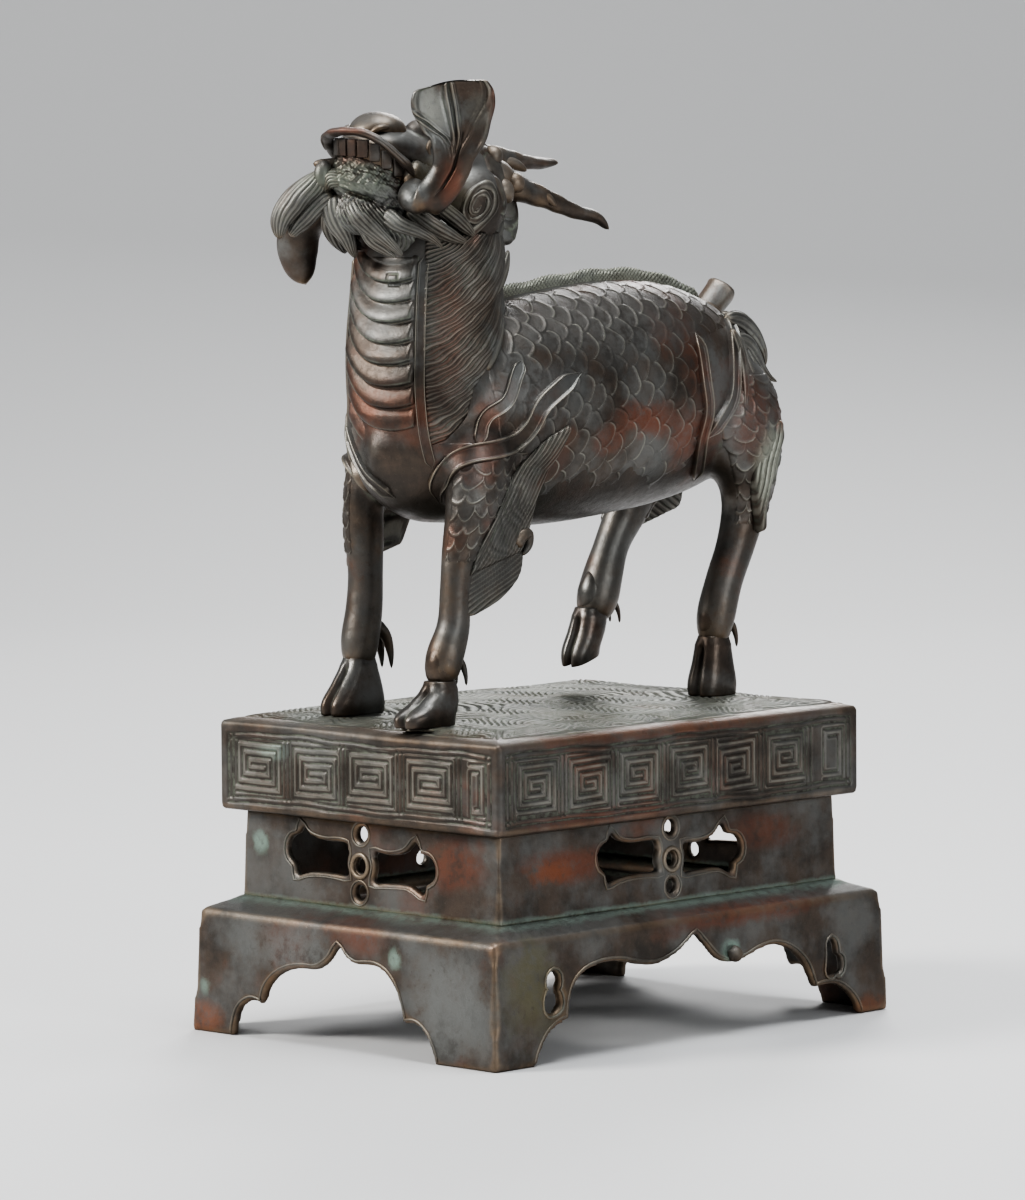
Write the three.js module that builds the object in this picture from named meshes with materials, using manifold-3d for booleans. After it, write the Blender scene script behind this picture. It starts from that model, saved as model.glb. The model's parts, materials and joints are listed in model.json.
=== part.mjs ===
// A cast bronze qilin, a dragon-headed hoofed beast, on a waisted stand of three tiers.
// Millimetres, +Z up. The beast faces -Y and its left side is towards +X.
// Everything is laid out from the middle of the stand, on the surface that the stand rests on.
import * as THREE from "three";
import { mergeVertices } from "three/addons/utils/BufferGeometryUtils.js";
import Module from "manifold-3d";

const wasm = await Module();
wasm.setup();

// Sizes of the stand. A half size is measured from the stand's middle to an outer face.
const FIT = 0.3;
const SLAB = {
  halfX: 54.3,
  halfY: 72,
  low: 61.7,
  high: 86.2,
  crown: 88,
  wall: 3,
  lip: 8.6,
  lipHigh: 2.6,
};
const WAIST = { halfX: 50.2, halfY: 67.8, lean: 0.9, low: 36.9, wall: 2.6 };
const FOOT = {
  halfX: 59.4,
  halfY: 78.9,
  lean: 1.7,
  ledge: 34,
  rise: 36.6,
  wall: 2.8,
  hole: 5,
};
const FRET = {
  square: 19.6,
  pitch: 21.4,
  groove: 1.3,
  step: 4,
  turns: 7,
  hiddenTurns: 3,
  depth: 0.8,
  high: 74,
};
const CARTOUCHE = {
  half: 28.8,
  waist: 4.6,
  corner: 8.3,
  cornerAt: 23.8,
  ring: 4.2,
  bore: 2.1,
  web: 2.6,
  holeUp: 8.2,
  shortFaceOffset: -3.6,
};
const ARCH_LONG = {
  middle: 0,
  foot: 64.5,
  ankle: 57,
  cusp: 50.5,
  high: 9.8,
  shoulder: 40,
  dip: 15,
  dipZ: 20.5,
  crownZ: 24,
  peak: 29,
};
const ARCH_SHORT = {
  middle: -2.5,
  foot: 39.5,
  ankle: 34,
  cusp: 28,
  high: 9.6,
  shoulder: 20.5,
  dip: 10.5,
  dipZ: 21,
  crownZ: 21.8,
  peak: 28.4,
};
const KEYHOLE = { halfWide: 2.8, halfHigh: 5.6, y: 56, z: 18 };

// The beast stands a little to one side of the stand's middle line, on the crown of the slab.
const MIDLINE = -2;
const GROUND = SLAB.crown + FIT;

const UP = new THREE.Vector3(0, 0, 1);
const ACROSS = new THREE.Vector3(1, 0, 0);

// Joining and cutting

function solid(geometry) {
  const plain = geometry.index ? geometry.toNonIndexed() : geometry.clone();
  const bare = new THREE.BufferGeometry();
  bare.setAttribute("position", plain.getAttribute("position"));
  const merged = mergeVertices(bare, 1e-4);
  return new wasm.Manifold(
    new wasm.Mesh({
      numProp: 3,
      vertProperties: merged.attributes.position.array,
      triVerts: new Uint32Array(merged.index.array),
    }),
  );
}

function joined(parts) {
  return parts.reduce((whole, part) => whole.add(part));
}

function without(body, cuts) {
  return cuts.length ? body.subtract(joined(cuts)) : body;
}

function node(name, body, color, roughness) {
  const made = body.getMesh();
  const geometry = new THREE.BufferGeometry();
  geometry.setAttribute("position", new THREE.BufferAttribute(made.vertProperties, 3));
  geometry.setIndex(new THREE.BufferAttribute(made.triVerts, 1));
  const material = new THREE.MeshStandardMaterial({ color, roughness, metalness: 0.9 });
  const mesh = new THREE.Mesh(geometry, material);
  mesh.name = name;
  return mesh;
}

// Basic shapes

function box(low, high) {
  const size = new THREE.Vector3(...high).sub(new THREE.Vector3(...low));
  const geometry = new THREE.BoxGeometry(size.x, size.y, size.z);
  geometry.translate((low[0] + high[0]) / 2, (low[1] + high[1]) / 2, (low[2] + high[2]) / 2);
  return solid(geometry);
}

function ball(at, radii, turn = [0, 0, 0], sides = 12) {
  const geometry = new THREE.SphereGeometry(1, sides, Math.round(sides * 0.66));
  geometry.rotateX(Math.PI / 2);
  geometry.scale(...radii);
  geometry.applyMatrix4(new THREE.Matrix4().makeRotationFromEuler(new THREE.Euler(...turn)));
  geometry.translate(...at);
  return solid(geometry);
}

// A form along a smooth line. A station is [x, y, z, half width, half depth]: the width lies along
// the direction across, and the depth at right angles to it. The hollow bends the section into a
// spoon, and a level form has flat sections, given from the lowest up.
function form(stations, { sides = 10, steps = 8, across = ACROSS, hollow = 0, level = false } = {}) {
  const line = new THREE.CatmullRomCurve3(stations.map((s) => new THREE.Vector3(s[0], s[1], s[2])));
  const sizes = new THREE.CatmullRomCurve3(
    stations.map((s) => new THREE.Vector3(s[3], s[4] ?? s[3], 0)),
    false,
    "catmullrom",
    0.5,
  );
  const geometry = new THREE.CylinderGeometry(1, 1, 1, sides, steps);
  const place = geometry.getAttribute("position");
  for (let i = 0; i < place.count; i++) {
    const t = THREE.MathUtils.clamp(place.getY(i) + 0.5, 0, 1);
    const forward = level ? UP : line.getTangent(t);
    const wide = across.clone().addScaledVector(forward, -across.dot(forward)).normalize();
    const deep = wide.clone().cross(forward);
    const size = sizes.getPoint(t);
    const u = place.getX(i);
    const v = place.getZ(i);
    const spot = line.getPoint(t);
    spot.addScaledVector(wide, u * size.x);
    spot.addScaledVector(deep, v * size.y + hollow * size.x * (u * u - 0.5));
    place.setXYZ(i, spot.x, spot.y, spot.z);
  }
  return solid(geometry);
}

// A stack of rectangles, each [half x, half y, z], as one solid.
function stack(rows) {
  const geometry = new THREE.CylinderGeometry(1, 1, 1, 4, rows.length - 1);
  const place = geometry.getAttribute("position");
  for (let i = 0; i < place.count; i++) {
    const [halfX, halfY, z] = rows[Math.round((place.getY(i) + 0.5) * (rows.length - 1))];
    const turn = Math.atan2(place.getX(i), place.getZ(i)) + Math.PI / 4;
    const edge = Math.round(Math.hypot(place.getX(i), place.getZ(i)));
    const signX = edge * Math.sign(Math.sin(turn));
    const signY = -edge * Math.sign(Math.cos(turn));
    place.setXYZ(i, signX * halfX, signY * halfY, z);
  }
  return solid(geometry);
}

// A flat outline pushed through along Y, with the outline's x and y as the model's x and z.
function throughY(shape, from, to, curveSegments = 4) {
  const depth = to - from;
  const geometry = new THREE.ExtrudeGeometry(shape, { depth, bevelEnabled: false, curveSegments });
  geometry.rotateX(Math.PI / 2);
  geometry.translate(0, to, 0);
  return solid(geometry);
}

// The same along X, with the outline's x and y as the model's y and z.
function throughX(shape, from, to, curveSegments = 4) {
  const depth = to - from;
  const geometry = new THREE.ExtrudeGeometry(shape, { depth, bevelEnabled: false, curveSegments });
  geometry.rotateX(Math.PI / 2);
  geometry.rotateZ(Math.PI / 2);
  geometry.translate(from, 0, 0);
  return solid(geometry);
}

// The stand

// A square spiral groove, laid out from its outer corner inwards, as a flat outline.
function spiralOutline(middleX, middleY, square, turns) {
  const { groove, step } = FRET;
  const path = [];
  let [x, y] = [-square / 2, -square / 2];
  let [stepX, stepY] = [1, 0];
  let reach = square;
  for (let i = 0; i < turns; i++) {
    path.push([x, y]);
    x += stepX * reach;
    y += stepY * reach;
    [stepX, stepY] = [-stepY, stepX];
    if (i > 0 && i % 2 === 0) reach -= step;
  }
  path.push([x, y]);
  const side = (sign) =>
    path.map(([px, py], i) => {
      const before = path[Math.max(i - 1, 0)];
      const after = path[Math.min(i + 1, path.length - 1)];
      const normal = [0, 0];
      for (const [a, b] of [[before, [px, py]], [[px, py], after]]) {
        const length = Math.hypot(b[0] - a[0], b[1] - a[1]);
        if (length === 0) continue;
        normal[0] -= (b[1] - a[1]) / length;
        normal[1] += (b[0] - a[0]) / length;
      }
      return new THREE.Vector2(
        middleX + px + (sign * normal[0] * groove) / 2,
        middleY + py + (sign * normal[1] * groove) / 2,
      );
    });
  return new THREE.Shape([...side(1), ...side(-1).reverse()]);
}

function frets(halfFace, count, turns, cut) {
  const start = -halfFace + (2 * halfFace - (count - 1) * FRET.pitch) / 2;
  return Array.from({ length: count }, (_, i) =>
    cut(spiralOutline(start + i * FRET.pitch, FRET.high, FRET.square - FRET.groove * 2, turns)),
  );
}

function slab() {
  const { halfX, halfY, low, high, crown, wall, lip, lipHigh } = SLAB;
  const outer = stack([
    [halfX - 0.9, halfY - 0.9, low],
    [halfX, halfY, low + 1.2],
    [halfX, halfY, high - 0.9],
    [halfX - 0.7, halfY - 0.7, high],
    [halfX - 7.4, halfY - 8, crown],
  ]);
  const hollow = stack([
    [halfX - wall, halfY - wall, low + lipHigh],
    [halfX - wall, halfY - wall, high - wall],
  ]);
  const mouth = stack([
    [halfX - lip, halfY - lip, low - 1],
    [halfX - lip, halfY - lip, low + lipHigh + 1],
  ]);
  const deep = FRET.depth;
  const cuts = [
    ...frets(halfY, 6, FRET.turns, (shape) => throughX(shape, halfX - deep, halfX + 1)),
    ...frets(halfX, 4, FRET.turns, (shape) => throughY(shape, -halfY - 1, -halfY + deep)),
    ...frets(halfY, 6, FRET.hiddenTurns, (shape) => throughX(shape, -halfX - 1, -halfX + deep)),
    ...frets(halfX, 4, FRET.hiddenTurns, (shape) => throughY(shape, halfY - deep, halfY + 1)),
  ];
  return without(outer, [hollow, mouth, ...cuts]);
}

// One half of the cloud cartouche: a waisted field with two barbs and a round lobe at its outer end.
function cartoucheHalf(side, offset, middle) {
  const { half, waist, corner, cornerAt, ring, web } = CARTOUCHE;
  const shape = new THREE.Shape();
  const at = (u, v) => [offset + side * u, middle + v];
  shape.moveTo(...at(web, waist));
  shape.quadraticCurveTo(...at(cornerAt - 9, waist - 0.6), ...at(cornerAt, corner));
  shape.quadraticCurveTo(...at(cornerAt + 0.4, waist), ...at(cornerAt + 2, waist - 0.4));
  shape.quadraticCurveTo(...at(half + 1.6, 0), ...at(cornerAt + 2, -waist + 0.4));
  shape.quadraticCurveTo(...at(cornerAt + 0.4, -waist), ...at(cornerAt, -corner));
  shape.quadraticCurveTo(...at(cornerAt - 9, -waist + 0.6), ...at(web, -waist));
  shape.quadraticCurveTo(...at(ring * 1.7, 0), ...at(web, waist));
  return shape;
}

function disc(offset, middle, radius) {
  const shape = new THREE.Shape();
  shape.absarc(offset, middle, radius, 0, Math.PI * 2);
  return shape;
}

function waist() {
  const { halfX, halfY, lean, low, wall } = WAIST;
  const high = SLAB.low - FIT;
  const shell = stack([
    [halfX, halfY, low],
    [halfX - lean, halfY - lean, high],
  ]);
  const hollow = stack([
    [halfX - wall, halfY - wall, low - 1],
    [halfX - lean - wall, halfY - lean - wall, high + 1],
  ]);
  const middle = (low + high) / 2;
  const { bore, holeUp, shortFaceOffset } = CARTOUCHE;
  const openings = (offset, push) => [
    push(cartoucheHalf(1, offset, middle)),
    push(cartoucheHalf(-1, offset, middle)),
    push(disc(offset, middle, bore)),
    push(disc(offset, middle + holeUp, bore)),
    push(disc(offset, middle - holeUp, bore)),
  ];
  return without(shell, [
    hollow,
    ...openings(0, (shape) => throughX(shape, -halfX - 1, halfX + 1, 2)),
    ...openings(shortFaceOffset, (shape) => throughY(shape, -halfY - 1, halfY + 1, 2)),
  ]);
}

// The cusped arch between two legs, from below the surface up to its pointed crown.
function archOutline({ middle, foot, ankle, cusp, high, shoulder, dip, dipZ, crownZ, peak }) {
  const shape = new THREE.Shape();
  const half = (side) => [
    [[foot, 0], [ankle + 1.5, high * 0.5], [ankle, high]],
    [[ankle, high], [(ankle + cusp) / 2, high + 2.4], [cusp, high]],
    [[cusp, high], [cusp - 2, crownZ - 4], [shoulder, crownZ - 0.8]],
    [[shoulder, crownZ - 0.8], [(shoulder + dip) / 2, crownZ + 2], [dip, dipZ]],
    [[dip, dipZ], [dip * 0.42, dipZ], [0, peak]],
  ].map((curve) => curve.map(([u, z]) => [middle + side * u, z]));
  shape.moveTo(middle - foot, -2);
  shape.lineTo(middle - foot, 0);
  for (const [, control, end] of half(-1)) shape.quadraticCurveTo(...control, ...end);
  for (const [start, control] of half(1).reverse()) shape.quadraticCurveTo(...control, ...start);
  shape.lineTo(middle + foot, -2);
  return shape;
}

function keyhole(middle) {
  const { halfWide, halfHigh, z } = KEYHOLE;
  const shape = new THREE.Shape();
  shape.moveTo(middle, z + halfHigh);
  shape.quadraticCurveTo(middle + halfWide, z + halfHigh, middle + halfWide * 0.5, z + 0.6);
  shape.quadraticCurveTo(middle + halfWide * 2, z - halfHigh, middle, z - halfHigh);
  shape.quadraticCurveTo(middle - halfWide * 2, z - halfHigh, middle - halfWide * 0.5, z + 0.6);
  shape.quadraticCurveTo(middle - halfWide, z + halfHigh, middle, z + halfHigh);
  return shape;
}

function foot() {
  const { halfX, halfY, lean, ledge, rise, wall, hole } = FOOT;
  const outer = stack([
    [halfX, halfY, 0],
    [halfX - lean, halfY - lean, ledge - 1],
    [halfX - lean - 0.6, halfY - lean - 0.6, ledge],
    [WAIST.halfX, WAIST.halfY, rise],
  ]);
  const hollow = stack([
    [halfX - wall, halfY - wall, -1],
    [halfX - lean - wall, halfY - lean - wall, ledge - wall],
    [WAIST.halfX - hole, WAIST.halfY - hole, rise - wall],
    [WAIST.halfX - hole, WAIST.halfY - hole, rise + 1],
  ]);
  return without(outer, [
    hollow,
    throughX(archOutline(ARCH_LONG), -halfX - 1, halfX + 1, 3),
    throughY(archOutline(ARCH_SHORT), -halfY - 1, halfY + 1, 3),
    throughX(keyhole(KEYHOLE.y), -halfX - 1, halfX + 1, 2),
    throughX(keyhole(-KEYHOLE.y), -halfX - 1, halfX + 1, 2),
  ]);
}

// The beast, laid out about its own middle line at x = 0

// Trunk stations from chest to rump: [y, lowest z, highest z, half width].
const TRUNK = [
  [-63.4, 157, 168, 3],
  [-60, 149, 176, 11],
  [-52, 143.4, 184, 18.5],
  [-40, 140.8, 190, 23.4],
  [-25, 139.3, 199, 26],
  [-10, 138.7, 202.4, 27],
  [8, 139.2, 204.8, 27.5],
  [25, 140.6, 206, 28],
  [41, 142.3, 205.6, 27.6],
  [56, 145.2, 202.4, 26],
  [68, 150.5, 197.6, 22.5],
  [77, 158, 191, 16.5],
  [83, 168, 183, 8],
];

function trunk() {
  const stations = TRUNK.map(([y, low, high, wide]) => [0, y, (low + high) / 2, wide, (high - low) / 2]);
  return form(stations, { sides: 14, steps: 14 });
}

// The height of the back at a place along the trunk.
function backAt(y) {
  const next = TRUNK.findIndex((station) => station[0] > y);
  const [before, after] = [TRUNK[next - 1], TRUNK[next]];
  return THREE.MathUtils.mapLinear(y, before[0], after[0], before[2], after[2]);
}

const NECK = { y: -42.5, halfX: 20.9, halfY: 20, low: 146, high: 230, taper: 0.055, taperFrom: 188 };

function neck() {
  const { y, halfX, halfY, low, high } = NECK;
  const stations = [
    [0, y + 6.5, low, halfX - 3.5, halfY - 5.5],
    [0, y + 3, low + 12, halfX - 0.8, halfY - 1.4],
    [0, y + 1, low + 26, halfX, halfY],
    [0, y, low + 42, halfX, halfY],
    [0, y + 0.6, low + 58, halfX - 0.9, halfY - 0.9],
    [0, y + 1.6, low + 72, halfX - 1.8, halfY - 1.6],
    [0, y + 2.6, high, halfX - 5, halfY - 4],
  ];
  return form(stations, { sides: 12, steps: 6 });
}

// Overlapping belly plates down the front of the neck, each with a lower edge that dips in the middle.
function bellyPlates() {
  const [count, top, firstPitch, growth, core, spread, dip] = [9, 212.8, 4.95, 0.15, 12, 37.5, 0.014];
  const edge = (i) => top - firstPitch * i - (growth * i * (i - 1)) / 2;
  const radius = (z) => NECK.halfX - Math.max(0, z - NECK.taperFrom) * NECK.taper;
  const profile = [new THREE.Vector2(core, edge(count))];
  for (let i = count; i > 0; i--) {
    profile.push(new THREE.Vector2(radius(edge(i)) + 1.4, edge(i)));
    profile.push(new THREE.Vector2(radius(edge(i - 1)) + 0.2, edge(i - 1)));
  }
  profile.push(new THREE.Vector2(core, top), profile[0].clone());
  const rings = new THREE.LatheGeometry(profile, 24, THREE.MathUtils.degToRad(7.5));
  rings.rotateX(Math.PI / 2);
  rings.scale(1, NECK.halfY / NECK.halfX, 1);
  const place = rings.getAttribute("position");
  for (let i = 0; i < place.count; i++) {
    place.setZ(i, place.getZ(i) + dip * place.getX(i) ** 2);
  }
  rings.translate(0, NECK.y, 0);
  const wedge = new THREE.Shape();
  const reach = NECK.halfX * 2;
  const turn = THREE.MathUtils.degToRad(spread);
  wedge.moveTo(0, NECK.y);
  wedge.lineTo(-reach * Math.sin(turn), NECK.y - reach * Math.cos(turn));
  wedge.lineTo(reach * Math.sin(turn), NECK.y - reach * Math.cos(turn));
  const depth = top - edge(count) + 20;
  const sector = new THREE.ExtrudeGeometry(wedge, { depth, bevelEnabled: false });
  sector.translate(0, 0, edge(count) - 1);
  return solid(rings).intersect(solid(sector));
}

// What lies on the left flank of the beast, and is repeated on its right flank with x turned round.
function bothSides(make) {
  return [make(1), make(-1)];
}

function flipped(stations, side) {
  return stations.map(([x, ...rest]) => [side * x, ...rest]);
}

// The mane: three flame-like tiers a side, and the upright band that parts it from the belly plates.
function mane() {
  const tiers = [
    [
      [14.2, -55.6, 205, 1.8, 9.5],
      [18.8, -47, 208, 2.2, 9],
      [20.6, -38, 211, 2.2, 6.4],
      [18.6, -29.6, 213.6, 1.7, 3],
      [16.4, -24.2, 216.4, 0.6, 0.7],
    ],
    [
      [14.8, -56, 188, 1.8, 9.5],
      [19.6, -47, 189.5, 2.4, 8.6],
      [22, -39, 191.5, 2.4, 6.4],
      [20, -32, 194.4, 1.8, 3],
      [17, -26.6, 197.6, 0.6, 0.7],
    ],
    [
      [15.6, -56, 170, 1.8, 11],
      [21, -49, 173, 2.6, 9.4],
      [23.2, -43, 178, 2.6, 6.8],
      [21.6, -36, 184, 1.8, 3.4],
      [19, -31, 189.6, 0.6, 0.7],
    ],
  ];
  const band = [
    [13.6, -56, 215, 1.4, 1.6],
    [14.6, -57.7, 190, 1.5, 1.8],
    [14.4, -58, 174, 1.5, 1.8],
    [16.2, -56.8, 158.6, 1, 1.4],
  ];
  return bothSides((side) => [
    ...tiers.map((tier) => form(flipped(tier, side), { sides: 5, steps: 4 })),
    form(flipped(band, side), { sides: 5, steps: 4 }),
  ]).flat();
}

// Raised flame ribbons over the shoulders and in front of the haunches. The right flank is plainer.
function ribbons() {
  const shoulder = [
    [12.6, -50, 147.6, 1.2, 1.6],
    [17.4, -54.6, 154.6, 1.5, 2],
    [21.8, -52.8, 160, 1.6, 2.2],
    [26, -47.6, 162.4, 1.6, 2.3],
    [27.2, -40, 163.2, 1.6, 2.3],
    [26.4, -31, 166.4, 1.6, 2.2],
    [26.6, -24, 173, 1.6, 2],
    [26.4, -16, 178, 1.5, 1.6],
    [26, -6.6, 182.6, 0.7, 0.7],
  ];
  const branch = [
    [26.4, -46, 164, 1.4, 2],
    [25.4, -43, 171, 1.5, 2],
    [24.2, -36, 176, 1.5, 1.7],
    [22.6, -30, 183, 1.3, 1.4],
    [21.6, -26.4, 186.6, 0.6, 0.6],
  ];
  const haunchFront = [
    [24.4, 41.6, 190, 0.7, 0.7],
    [27.6, 40.4, 178, 1.5, 1.7],
    [27.6, 41.6, 169, 1.6, 2],
    [25.8, 41, 160.6, 1.5, 1.8],
    [20.6, 44, 151, 0.8, 0.9],
  ];
  const haunchBack = [
    [18.6, 60.6, 193.2, 0.8, 0.9],
    [23, 57.4, 186.6, 1.6, 1.8],
    [26.4, 54, 178, 1.8, 2],
    [26.8, 51, 170.4, 1.7, 1.9],
    [26, 44.6, 163, 0.9, 1],
  ];
  const long = bothSides((side) => form(flipped(shoulder, side), { sides: 5, steps: 9 }));
  const short = [branch, haunchFront, haunchBack, flipped(haunchBack, -1)];
  return [...long, ...short.map((line) => form(line, { sides: 5, steps: 4 }))];
}

// A low fin along the back, with its upper edge cut into teeth.
function crest() {
  const [from, to, teeth, high, notch, sink, half] = [-17, 68.5, 14, 3.9, 0.9, 2.4, 1.3];
  const shape = new THREE.Shape();
  const edge = (i) => THREE.MathUtils.lerp(from, to, i / teeth);
  const rise = (i) => high * Math.min(1, 0.7 + i * 0.1, (teeth - i) * 0.9);
  shape.moveTo(edge(0), backAt(edge(0)) - sink);
  for (let i = 0; i < teeth; i++) {
    shape.lineTo(edge(i + 0.25), backAt(edge(i + 0.25)) + rise(i + 0.5) - notch);
    shape.lineTo(edge(i + 0.9), backAt(edge(i + 0.9)) + rise(i + 0.5));
  }
  for (let i = teeth; i > 0; i -= 4) shape.lineTo(edge(i), backAt(edge(i)) - sink);
  return throughX(shape, -half, half);
}

// The tail is broken off short. Curled tufts of hair lie on the rump beside its root.
function tailAndTufts() {
  const stub = form(
    [
      [0, 65, 191.6, 5, 5],
      [0, 72, 197.4, 4.8, 4.8],
      [0, 77.8, 202.2, 4.8, 4.8],
    ],
    { sides: 8, steps: 2 },
  );
  const tufts = bothSides((side) =>
    (side > 0 ? [0, 1, 2] : [0, 1]).map((i) =>
      form(
        flipped(
          [
            [15 + i * 2.6, 61 + i, 189.6 - i * 6, 2, 3.4],
            [14.4 + i * 2.4, 70.6, 188.6 - i * 6, 2.2, 3.2],
            [12 + i * 2.4, 79 - i * 0.6, 184.4 - i * 6, 1.8, 2.4],
            [10.4 + i * 3, 84 - i, 177 - i * 6, 0.6, 0.7],
          ],
          side,
        ),
        { sides: 4, steps: 3 },
      ),
    ),
  );
  return [stub, ...tufts.flat()];
}

// A flat plate with a given outline in y and z.
function plate(points, from, to) {
  return throughX(new THREE.Shape(points.map(([y, z]) => new THREE.Vector2(y, z))), from, to);
}

// Feathered fins behind the elbows, and plain ones behind the hocks.
function fins() {
  const feather = [
    [-12.3, 167.1],
    [-36, 165],
    [-42, 150],
    [-48, 135],
    [-51, 122],
    [-47.8, 118.8],
    [-34.2, 123.9],
    [-28.7, 128.5],
    [-27.5, 133.6],
    [-29.6, 137],
    [-25.1, 135.6],
    [-24.2, 141.7],
    [-22.3, 147.8],
    [-18.3, 155.9],
  ];
  const shortFeather = [
    [-14, 162],
    [-36, 164],
    [-44, 150],
    [-42, 138.4],
    [-33, 137.4],
    [-26, 143],
    [-20, 153],
  ];
  const hock = [
    [62, 166],
    [76.8, 164.8],
    [79.7, 162.3],
    [77.5, 151],
    [73.2, 139.9],
    [71.1, 135.2],
    [66, 139],
    [62, 152],
  ];
  const farHock = [
    [56, 140],
    [62, 150],
    [76, 152],
    [80, 140.6],
    [73, 137.6],
    [59.6, 133.2],
  ];
  return [
    plate(feather, 20.6, 23.4),
    plate(shortFeather, -23.4, -20.6),
    plate(hock, 18.6, 21),
    plate(farHock, -20, -17.6),
  ];
}

function legs() {
  const foreLeft = [
    [13, -36, 172, 8, 11],
    [19.4, -41, 159, 7.6, 10.8],
    [20.4, -45.4, 146, 6.6, 7.8],
    [20, -49.4, 134.4, 4.9, 5.4],
    [20, -51.4, 124.5, 4.2, 4.4],
    [20, -52.2, 114.4, 4.6, 4.8],
    [20, -55.6, 106.6, 5.2, 5.4],
    [20, -57.4, 99.6, 4.4, 4.8],
  ];
  const foreRight = [
    [-13, -36, 170, 8, 11],
    [-19.4, -42.6, 156, 6.8, 9.4],
    [-20, -46.4, 147, 5.4, 6.2],
    [-20, -46.7, 137.5, 5.4, 5.7],
    [-20, -46.3, 127.2, 4.9, 5.1],
    [-20, -47, 117, 5.2, 5.3],
    [-20, -48.8, 108, 5.4, 5.4],
    [-20, -49.4, 101, 4.2, 4.4],
  ];
  const hindLeft = [
    [13, 54, 182, 8, 10],
    [18.4, 60.6, 171, 9.6, 15],
    [19.4, 65, 157, 8.8, 13.4],
    [19, 66.2, 144, 6.6, 7.8],
    [19, 62, 130.6, 5.4, 5.9],
    [19, 57, 120.4, 5.3, 5.6],
    [19, 53.2, 109, 5.4, 5.5],
    [19, 52.3, 102, 3.8, 4],
  ];
  const hindRight = [
    [-13, 54, 180, 8, 10],
    [-17.6, 60, 167, 9.2, 14.4],
    [-18, 61, 153, 8.2, 11.4],
    [-18, 56.6, 140.5, 6, 7.2],
    [-18, 49.6, 129, 5, 5.4],
    [-18, 46, 120.6, 5.8, 6],
    [-18, 43.6, 114, 6, 6.2],
    [-18, 41, 108, 4.2, 4.4],
  ];
  return [foreLeft, foreRight, hindLeft, hindRight].map((line) => form(line, { sides: 8, steps: 7 }));
}

// A small horny spur hangs behind each pastern.
function spurs() {
  return [
    [20, -51.6, 106],
    [-20, -43.6, 112],
    [19, 57.6, 109],
    [-18, 49, 112],
  ].map(([x, y, z]) =>
    form(
      [
        [x, y, z, 1.8, 2],
        [x, y + 4.6, z - 5, 1.4, 1.6],
        [x, y + 5.6, z - 11.4, 0.4, 0.5],
      ],
      { sides: 4, steps: 2 },
    ),
  );
}

// A cloven hoof, flared from the coronet down to flat ground, with a cleft cut into its front.
function hoof(x, middle, half, topY, topZ) {
  const wide = 5.6;
  const rise = THREE.MathUtils.lerp(GROUND, topZ, 0.6);
  const body = form(
    [
      [x, middle, GROUND, wide, half],
      [x, middle, GROUND + 3, wide, half],
      [x, THREE.MathUtils.lerp(middle, topY, 0.7), rise, wide - 0.7, (half + 4.4) / 2],
      [x, topY, topZ, wide - 1.6, 4.4],
    ],
    { sides: 8, steps: 3, level: true },
  );
  return body.subtract(cleft(x, middle - half - 1, middle - half + 5, GROUND - 1, rise));
}

function cleft(x, front, back, low, high) {
  return box([x - 0.5, front, low], [x + 0.5, back, high]);
}

function hooves() {
  const raised = form(
    [
      [-18, 36, 96.4, 3.6, 3.2],
      [-18, 37, 100, 5.2, 6],
      [-18, 39, 104.4, 5.2, 6.2],
      [-18, 41.6, 110, 4.2, 4.6],
    ],
    { sides: 8, steps: 3, level: true },
  );
  return [
    hoof(20, -63.5, 9.7, -57.8, 100),
    hoof(-20, -51.7, 10.3, -49.2, 104),
    hoof(19, 51.8, 6.8, 52.4, 105),
    raised.subtract(cleft(-18, 28, 34, 90, 104)),
  ];
}

function head() {
  const skull = form(
    [
      [0, -17, 228, 7, 8],
      [0, -25, 231, 14, 13],
      [0, -37, 235, 16.5, 14.5],
      [0, -48, 239.4, 14.5, 11.4],
      [0, -56, 243, 12, 8],
      [0, -64, 245.2, 10.6, 5.2],
      [0, -70.6, 246, 8.4, 3.2],
    ],
    { sides: 11, steps: 7 },
  );
  const jaw = form(
    [
      [0, -38, 223, 14, 8],
      [0, -51, 226, 13.5, 7],
      [0, -62, 230, 12, 5],
      [0, -69, 234.4, 9, 3.4],
      [0, -72.4, 237.4, 5.5, 2.2],
    ],
    { sides: 9, steps: 5 },
  );
  const lip = form(
    [
      [-14, -58, 238.6, 2, 2],
      [-11, -65.4, 243.6, 2.4, 2.2],
      [-2, -72.2, 247.4, 2.6, 2.2],
      [6, -69.6, 248.2, 2.6, 2.2],
      [11, -64.8, 245, 2.4, 2.2],
      [15, -59.4, 238.8, 2, 2],
    ],
    { sides: 5, steps: 7, across: UP },
  );
  const tongue = form(
    [
      [0, -52, 233, 6, 2.4],
      [0, -62, 236.6, 5.4, 2],
      [0, -69.6, 239.4, 3.6, 1.4],
    ],
    { sides: 6, steps: 3 },
  );
  const fang = form(
    [
      [-7, -65, 242, 1.6, 1.6],
      [-10.4, -70, 241, 1.3, 1.3],
      [-11.4, -72.4, 240.2, 0.4, 0.4],
    ],
    { sides: 5, steps: 2 },
  );
  const nose = ball([-0.6, -59.6, 249], [7.8, 7.8, 5.1], [0.3, 0, 0], 8);
  const features = bothSides((side) => [
    ball([side * 6, -51.4, 247.2], [3.6, 4, 3.6], [0, 0, 0], 5),
    ball([side * 13.4, -36.6, 228.6], [6.6, 13.8, 11.6], [0.2, 0, 0], 7),
  ]);
  return [skull, jaw, lip, tongue, fang, nose, ...features.flat(), ...teeth()];
}

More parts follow.
